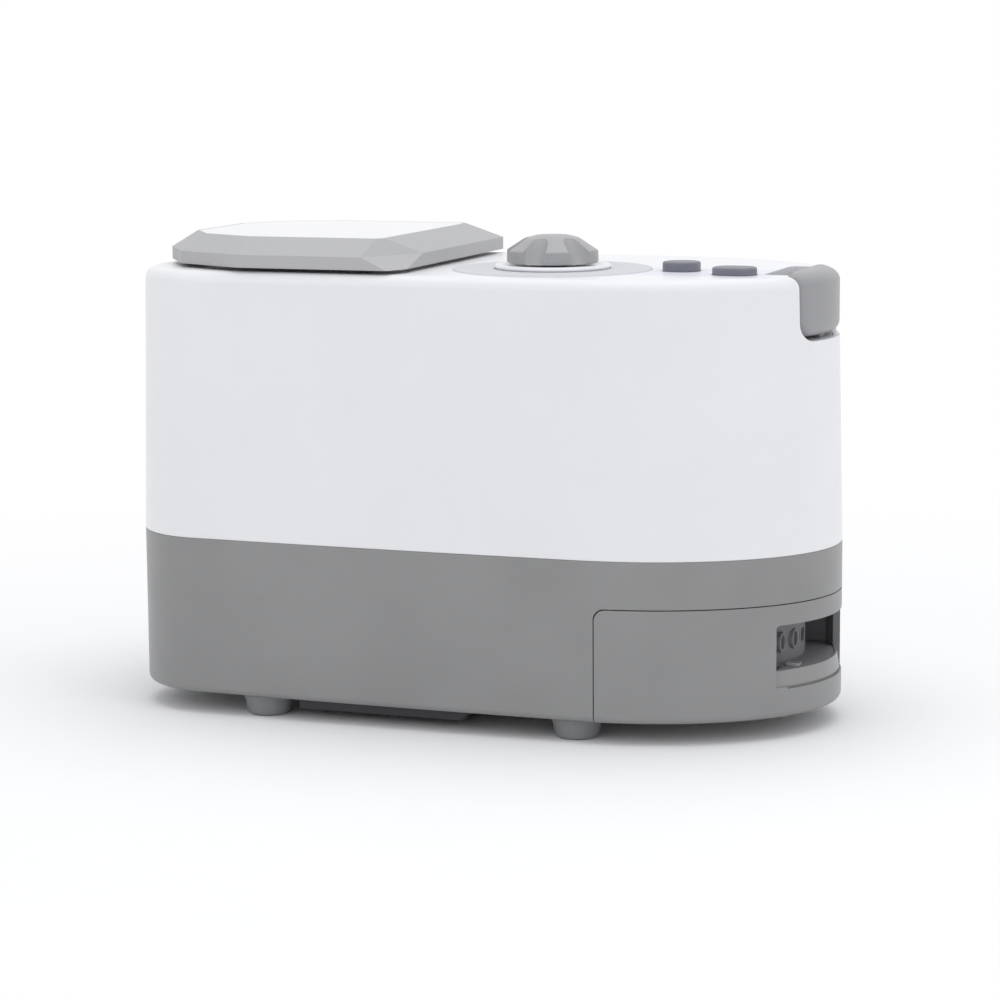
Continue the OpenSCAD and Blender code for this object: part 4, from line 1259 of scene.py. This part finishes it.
@dataclass
class HoseSocket:
    """End cover with its window, the frame of the socket and the port block behind it."""

    base: BaseCase = field(default_factory=BaseCase)
    low: float = 25.0
    high: float = 42.0
    front: float = -34.5
    rear: float = 17.5
    pocket: float = 8.0
    depth: float = 13.5
    left: float = 108.0
    flange: float = 4.0
    wall: float = 2.5
    cut_start: float = 98.0
    chin: float = 19.2
    chin_back: tuple[Level, Level] = ((18.2, 0.6), (27.0, 1.9))
    groove: Spot = (18.4, 19.3)
    groove_depth: float = 1.3
    catch_low: Corner = (117.7, -22.5, 15.0)
    catch_high: Spot = (123.3, -17.9)
    slot_low: Spot = (112.0, -31.5)
    slot_high: Spot = (117.0, -23.2)
    port: float = 5.4
    bore: float = 8.0
    rim: float = 1.0
    nipple: float = 4.6
    passage: float = 3.0

    def cover(self) -> Solid:
        """The end cover."""
        seam, start = self.base.seam, self.cut_start
        foot = quarter((FLOOR, 0.0), (UNDERSIDE, WALL - seam), 6)[::-1]
        skin = OUTLINE.loft([*foot, (30.0, 0.0), (55.0, 0.0)])
        shell = (skin - OUTLINE.upright(0.0, 60.0, WALL)) & self.base.zone(-seam)
        window = Solid.block((start, self.front, self.low), (FAR, self.rear, self.high))
        window.eased(1.2, 5, where=lambda p: start + 1 < p.x < FAR - 1)
        chin = Solid.block((start, self.front, self.chin), (FAR, self.rear, self.low + 1))
        chin = chin - OUTLINE.loft(self.chin_back)
        low, high = self.groove
        groove = Solid.block((start, self.front + 4, low), (FAR, self.rear, high))
        groove = groove - OUTLINE.upright(10.0, 30.0, self.groove_depth)
        return (((shell - chin) - groove) - window).eased(0.6, 3)

    def box(self, left: float, right: float = FAR, wall: float = 0.0) -> Solid:
        """Box of the socket's inside with its pocket, or round it with walls.

        Args:
            left: Where the box begins.
            right: Where it ends.
            wall: How far it is widened.

        Returns:
            The box.
        """
        return Solid.block(
            (left, self.front - wall, self.low - wall),
            (right, self.rear + self.pocket + wall, self.high + wall),
        )

    def frame(self) -> Solid:
        """Floor, roof and sides of the socket."""
        body = self.box(self.left + 0.1, wall=self.wall)
        body = body & OUTLINE.upright(UNDERSIDE, 60.0, WALL + 0.3)
        body = body - OUTLINE.upright(UNDERSIDE - 1, 61.0, self.depth - 0.1)
        body = body - self.box(self.left - 1)
        floor = self.low + 0.1
        slot = Solid.block((*self.slot_low, self.low - 1.2), (*self.slot_high, floor))
        catch = Solid.block(self.catch_low, (*self.catch_high, floor))
        return (body - Solid.gathered([slot, catch])).eased(0.3, 2)

    def rods(
        self, starts: Sequence[float], ends: Sequence[float], diameter: float, ease: float = 0.0
    ) -> Solid:
        """One rod along X at each port.

        Args:
            starts: Where each rod begins.
            ends: Where each rod ends.
            diameter: Their diameter.
            ease: Width of the rounding of their edges, or 0 for sharp ones.

        Returns:
            The three rods as one solid.
        """
        z, made = PORT_HEIGHT, []
        for start, end, y in zip(starts, ends, PORTS):
            rod = Solid.rod((start, y, z), (end, y, z), diameter)
            made.append(rod.eased(ease) if ease else rod)
        return Solid.gathered(made)

    def block(self) -> Solid:
        """Port block: its curved wall with a raised rim round each port."""
        back = self.left - self.flange
        curved = self.box(back, wall=self.wall) & OUTLINE.upright(UNDERSIDE, 60.0, self.depth)
        body = self.box(back, self.left, self.wall) | curved
        reach = [max(0.0, abs(y) - self.port / 2) for y in PORTS]
        faces = [OUTLINE.end_x(y, self.depth) + 0.1 for y in reach]
        rims = self.rods([x - 6 for x in faces], faces, self.port + 2 * self.rim, 0.35)
        nipples = self.rods([back - 10] * 3, [back + 1] * 3, self.nipple)
        bores = self.rods([x - self.bore for x in faces], [x + 3 for x in faces], self.port)
        body = ((body | rims) | nipples) - bores
        body.eased(0.3, 2, where=lambda p: p.x > back + 1)
        return body - self.rods([back - 11] * 3, faces, self.passage)

    def build(self) -> None:
        """Fit the cover, the frame and the port block."""
        Piece("socket_cover", "housing", "grey_case", ("end_cover",)).fit(self.cover())
        Piece("socket_surround", "housing", "socket_grey", ("socket_frame",)).fit(self.frame())
        Piece("air_port_block", "housing", "socket_grey", ("port_block",)).fit(self.block())


# ---------------------------------------------------------------- lid and tray


@dataclass
class FlipLid:
    """Bevelled lid with its white panel, and the storage tray under it."""

    foot: LidOutline = LidOutline(-124.0, -18.0, 58.0, 34.0, 4.0, 10.0)
    band: LidOutline = LidOutline(-124.0, -18.0, 58.0, 34.0, 14.0, 26.0)
    top: LidOutline = LidOutline(-115.0, -29.0, 46.0, 26.0, 2.0, 3.0)
    heights: tuple[float, float, float] = (168.3, 173.0, 179.0)
    panel: float = 2.4
    lug: float = 5.0
    slot_half: float = 3.3
    pin: float = 2.5
    pin_reach: float = 25.0

    def stack(self, inset: float, heights: Sequence[float]) -> Solid:
        """Solid through the lid's three outlines, drawn in."""
        rings = zip((self.foot, self.band, self.top), heights)
        return Solid.through([[mm(x, y, z) for x, y in o.corners(inset)] for o, z in rings])

    def frame(self) -> Solid:
        """The lid's grey frame."""
        low, middle, high = self.heights
        skin = self.stack(0.0, self.heights)
        hollow = self.stack(2.5, (low - 0.01, middle - 1, high - self.panel - 1.6))
        x, z = HINGE
        start, half = self.foot.left + 0.2, self.lug / 2
        for y in (ear + hand * (half + self.slot_half) for ear in EARS for hand in (-1, 1)):
            hollow = hollow - Solid.block((start, y - half, low - 1), (x + 3, y + half, z + 3))
        body = skin - hollow
        body = body - Solid.slab(self.top.corners(0.5), high - self.panel, high + 1)
        body.eased(0.8, 4, angle=12.0, where=lambda p: p.z > low + 0.3 and p.z < high - 0.05)
        body.eased(0.3, 2, angle=50.0)
        half, left, top = self.slot_half, x - 3.8, z + 2.7
        slots = [Solid.block((left, y - half, low - 1), (x + 5, y + half, top)) for y in EARS]
        pin = Solid.rod((x, -self.pin_reach, z), (x, self.pin_reach, z), self.pin)
        return (body - Solid.gathered(slots)) - pin

    def inset_panel(self) -> Solid:
        """White panel in the lid's top."""
        high = self.heights[2]
        return Solid.slab(self.top.corners(0.65), high - self.panel, high).eased(0.4)

    def tray_cup(self) -> Solid:
        """Storage tray with rounded corners and a flange on the deck."""
        low = DECK - 24
        cup = Solid.slab(TRAY.corners(), low, DECK)
        cup.eased(2.0, 4, angle=20.0, where=lambda p: p.z < DECK - 0.1)
        flange = Solid.slab(TRAY.corners(-3.0), DECK, DECK + 1).eased(0.4)
        hollow = Solid.slab(TRAY.corners(1.8), low + 1.8, DECK + 3)
        hollow.eased(2.5, 5, angle=20.0, where=lambda p: p.z < DECK + 2)
        return (cup | flange) - hollow

    def build(self) -> None:
        """Fit the lid, its panel and the tray."""
        Piece("lid_rim", "lid", "lid_grey", ("lid_frame",), 25.0).fit(self.frame())
        Piece("lid_inlay", "lid", "white_case", ("lid_panel",)).fit(self.inset_panel())
        Piece("accessory_tray", "housing", "pale_plastic", ("storage_tray",)).fit(self.tray_cup())


# ---------------------------------------------------------------- knob and buttons


@dataclass
class PressureKnob:
    """Fluted knob on its collar, with the printed dial round it."""

    centre: Spot = KNOB
    diameter: float = 34.0
    low: float = 169.3
    band: float = 4.8
    crown: float = 5.4
    flutes: int = 6
    flute: float = 9.0
    turn: float = 25.0
    tilt: float = 34.0
    outward: float = 3.6
    collar: float = 43.0
    dial: float = 74.0

    def scoop(self, number: int) -> Solid:
        """Space of one flute, a rod that leans in over the crown."""
        turn, lean = math.radians(self.turn + number * 360 / self.flutes), math.radians(self.tilt)
        ends = []
        for along in (-self.flute, 30.0):
            reach = self.diameter / 2 + self.outward - along * math.sin(lean)
            ends.append(
                (
                    self.centre[0] + reach * math.cos(turn),
                    self.centre[1] + reach * math.sin(turn),
                    self.low + along * math.cos(lean),
                )
            )
        return Solid.rod(*ends, self.flute, 64)

    def body(self) -> Solid:
        """The knob: a turned crown on a band, with flutes that run out through the band."""
        middle, top = self.low + self.band, self.low + self.band + self.crown
        radius = self.diameter / 2
        profile = [
            (0.0, self.low), (radius - 0.8, self.low), (radius - 0.25, self.low + 0.2),
            (radius, self.low + 0.8), (radius, middle - 0.5), (radius - 0.15, middle - 0.1),
            (radius - 0.5, middle + 0.2), (radius * 0.6 + 0.4, top - 1.4),
            (radius * 0.6 - 0.3, top - 1.1), (radius * 0.35, top - 0.1), (radius * 0.2, top),
            (0.0, top),
        ]
        knob = Solid.turned(profile, self.centre)
        for number in range(self.flutes):
            knob = knob - self.scoop(number)
        knob.eased(0.45, 3, angle=24.0, where=lambda p: p.z > self.low + 1)
        return knob | drum(*self.centre, 159.8, self.low + 1, 6.0)

    def ring(self) -> Solid:
        """Collar under the knob, a shallow dish with a rounded edge."""
        half = self.collar / 2
        profile = [
            (6.0, DECK), (half - 0.9, DECK), (half - 0.7, DECK + 0.7), (half, DECK + 0.9),
            (half, DECK + 1.4), (half - 0.5, DECK + 2.0), (half - 1.4, DECK + 2.2),
            (half - 3.2, DECK + 1.9), (half - 4.6, DECK + 1.2), (6.0, DECK + 1.2),
        ]
        return Solid.turned(profile, self.centre, closed=True)

    def plate(self) -> Solid:
        """Thin dial with a softened edge."""
        half, inner = self.dial / 2, self.collar / 2 + 0.1
        profile = [(inner, DECK), (half, DECK), (half - 0.35, DECK + 0.4), (inner, DECK + 0.4)]
        return Solid.turned(profile, self.centre, closed=True)

    def build(self) -> None:
        """Fit the knob, its collar and the dial."""
        Piece("pressure_knob", "knob", "knob_grey", ("knob",), 38.0).fit(self.body())
        Piece("knob_ring", "housing", "white_case", ("knob_collar",)).fit(self.ring())
        Piece("dial_face", "housing", "dial_print", ("dial_plate",)).fit(self.plate())


@dataclass(frozen=True)
class Button:
    """One push button: its piece, body, CAD node, place and size."""

    piece: str
    body: str
    node: str
    x: float
    y: float
    width: float
    height: float
    depth: float = 13.0
    corner: float = 5.8
    gap: float = 0.3

    def block(self, grow: float, low: float, high: float) -> Solid:
        """Upright block of the button's plan, widened."""
        x, y, half, deep = self.x, self.y, self.width / 2 + grow, self.depth / 2 + grow
        return Solid.block((x - half, y - deep, low), (x + half, y + deep, high))

    def cap(self) -> Solid:
        """Button with rounded corners, a crowned top, a flange and a stem."""
        top = DECK + self.height
        low, half, deep = DECK - 3.2, self.width / 2, self.depth / 2 + 1.2
        cap = self.block(0.0, low, top).eased(
            self.corner, 12, where=lambda p: abs(p.z - (low + top) / 2) < 0.1
        )
        cap.eased(0.8, 4, angle=50.0, where=lambda p: p.z > top - 0.1)
        flange = Solid.block(
            (self.x - half, self.y - deep, low - 1.2), (self.x + half, self.y + deep, low + 0.1)
        )
        stem = drum(self.x, self.y, low - 5.7, low - 1.0, 5.0)
        return (cap | flange) | stem


@dataclass
class PushButtons:
    """Start and mode buttons."""

    buttons: tuple[Button, ...] = (
        Button("start_key", "start_button", "button_start", 75.0, -11.0, 13.6, 3.5),
        Button("mode_key", "mode_button", "button_mode", 98.0, -22.0, 15.9, 2.8),
    )

    def holes(self) -> list[Solid]:
        """Holes of the deck round the buttons."""
        return [
            b.block(b.gap, DECK - 10, DECK + 5).eased(
                b.corner + b.gap, 12, where=lambda p: abs(p.z - (DECK - 2.5)) < 0.1
            )
            for b in self.buttons
        ]

    def build(self) -> None:
        """Fit both buttons."""
        for b in self.buttons:
            Piece(b.piece, b.body, "button_blue_grey", (b.node,)).fit(b.cap())


# ---------------------------------------------------------------- works inside


@dataclass
class Works:
    """CAD nodes that keep their own shape and get a finish."""

    nodes: dict[str, bpy.types.Object]
    record: dict

    def build(self) -> None:
        """Give each shown CAD node the finish of its slot."""
        slots = {part["node"]: part["material_slot"] for part in self.record["subparts"]}
        for name, node in sorted(self.nodes.items()):
            if node.hide_render:
                continue
            node.data.materials.clear()
            node.data.materials.append(PALETTE[slots[name]].material())
            LOG.info("%s: CAD node in %s", name, PALETTE[slots[name]].name)


# ---------------------------------------------------------------- studio


@dataclass(frozen=True)
class Lamp:
    """A square soft light that looks at a point."""

    name: str
    place: tuple[float, float, float]
    power: float
    size: float

    def hang(self, target: Vector) -> None:
        """Add the lamp to the scene, aimed at a point."""
        light = bpy.data.lights.new(self.name, "AREA")
        light.energy, light.size = self.power, self.size
        lamp = bpy.data.objects.new(self.name, light)
        lamp.location = self.place
        lamp.rotation_euler = (Vector(self.place) - target).to_track_quat("Z", "Y").to_euler()
        bpy.context.scene.collection.objects.link(lamp)


@dataclass
class Studio:
    """Pale floor, white surroundings, soft lamps and the camera."""

    yaw: float = 20.0
    pitch: float = 0.149
    roll: float = 0.0067
    distance: float = 1146.26
    aim: float = 87.0
    focal: float = 3014.85
    rise: float = -26.129
    frame: float = 1000.0
    sky: float = 0.75
    skylight: tuple[float, float, float, float] = (0.97, 0.98, 1.0, 1.0)
    floor_radius: float = 6.0
    fade: Spot = (0.22, 0.55)
    lamps: tuple[Lamp, ...] = (
        Lamp("overhead", (0.1, 0.1, 1.5), 8.6, 1.6),
        Lamp("left_front", (-1.0, -1.3, 0.9), 2.4, 0.9),
        Lamp("right_side", (1.5, -0.5, 0.8), 2.6, 0.9),
    )

    def seen_white(self, graph: Graph) -> Signal:
        """1 for the rays that see the surroundings: camera, mirror and glass rays."""
        path = graph.node("ShaderNodeLightPath", out="Is Camera Ray")
        either = path.math("MAXIMUM", path, path.beside("Is Glossy Ray"))
        return path.math("MAXIMUM", either, path.beside("Is Transmission Ray"))

    def surroundings(self) -> None:
        """White world that lights the pump at a plain level."""
        world = bpy.data.worlds.new("studio")
        bpy.context.scene.world = world
        graph = Graph(world)
        lit = graph.node("ShaderNodeBackground", None, {0: self.skylight, 1: self.sky})
        seen = graph.node("ShaderNodeBackground", None, {0: WHITE})
        share = self.seen_white(graph)
        graph.surface(graph.node("ShaderNodeMixShader", None, {0: share, 1: lit, 2: seen}), "World")

    def floor(self) -> None:
        """Round pale floor that fades to white away from the pump."""
        bm = bmesh.new()
        bmesh.ops.create_circle(bm, cap_ends=True, segments=TURN_STEPS, radius=self.floor_radius)
        bmesh.ops.inset_region(bm, faces=bm.faces[:], thickness=self.floor_radius / 2)
        floor = Solid(bm).as_object("studio_floor")
        graph = Graph(bpy.data.materials.new("floor_white"))
        spot = graph.spot()
        x, y, _ = graph.axes(spot)
        radius = (x * x + y * y) ** 0.5
        grain = graph.mix(graph.noise(spot, 60.0), (0.93, 0.93, 0.935), (0.945, 0.945, 0.95))
        matt = graph.node("ShaderNodeBsdfDiffuse", None, {"Color": grain})
        glow = graph.node("ShaderNodeEmission", None, {"Color": WHITE})
        share = radius.step(*self.fade) * self.seen_white(graph)
        graph.surface(graph.node("ShaderNodeMixShader", None, {0: share, 1: matt, 2: glow}))
        floor.data.materials.append(graph.owner)

    def camera(self) -> None:
        """Camera at the photograph's viewing angle."""
        yaw = math.radians(self.yaw)
        look = Vector(
            (
                -math.sin(yaw) * math.cos(self.pitch),
                math.cos(yaw) * math.cos(self.pitch),
                -math.sin(self.pitch),
            )
        )
        side = Vector((math.cos(yaw), math.sin(yaw), 0.0))
        up = side.cross(look)
        right = math.cos(self.roll) * side - math.sin(self.roll) * up
        top = math.sin(self.roll) * side + math.cos(self.roll) * up
        lens = bpy.data.cameras.new("view")
        lens.sensor_width = 36.0
        lens.lens = self.focal / self.frame * lens.sensor_width
        lens.shift_y = self.rise / self.frame
        lens.clip_start, lens.clip_end = 0.05, 50.0
        camera = bpy.data.objects.new("view", lens)
        turn = Matrix((right, top, -look)).transposed().to_4x4()
        place = mm(0, 0, self.aim) - look * self.distance * MM
        camera.matrix_world = Matrix.Translation(place) @ turn
        bpy.context.scene.collection.objects.link(camera)
        bpy.context.scene.camera = camera

    def build(self) -> None:
        """Set up the studio."""
        bpy.context.scene.view_settings.view_transform = "Standard"
        self.surroundings()
        self.floor()
        for lamp in self.lamps:
            lamp.hang(mm(0, 0, 80))
        self.camera()


def main() -> None:
    logging.basicConfig(level=logging.INFO, format="%(message)s")
    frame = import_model()
    Studio().build()
    buttons = PushButtons()
    UpperCase().build(buttons)
    BaseCase().build()
    HoseSocket().build()
    ReleaseTab().build()
    FlipLid().build()
    PressureKnob().build()
    buttons.build()
    Works(frame["nodes"], frame["record"]).build()


if __name__ == "__main__":
    main()
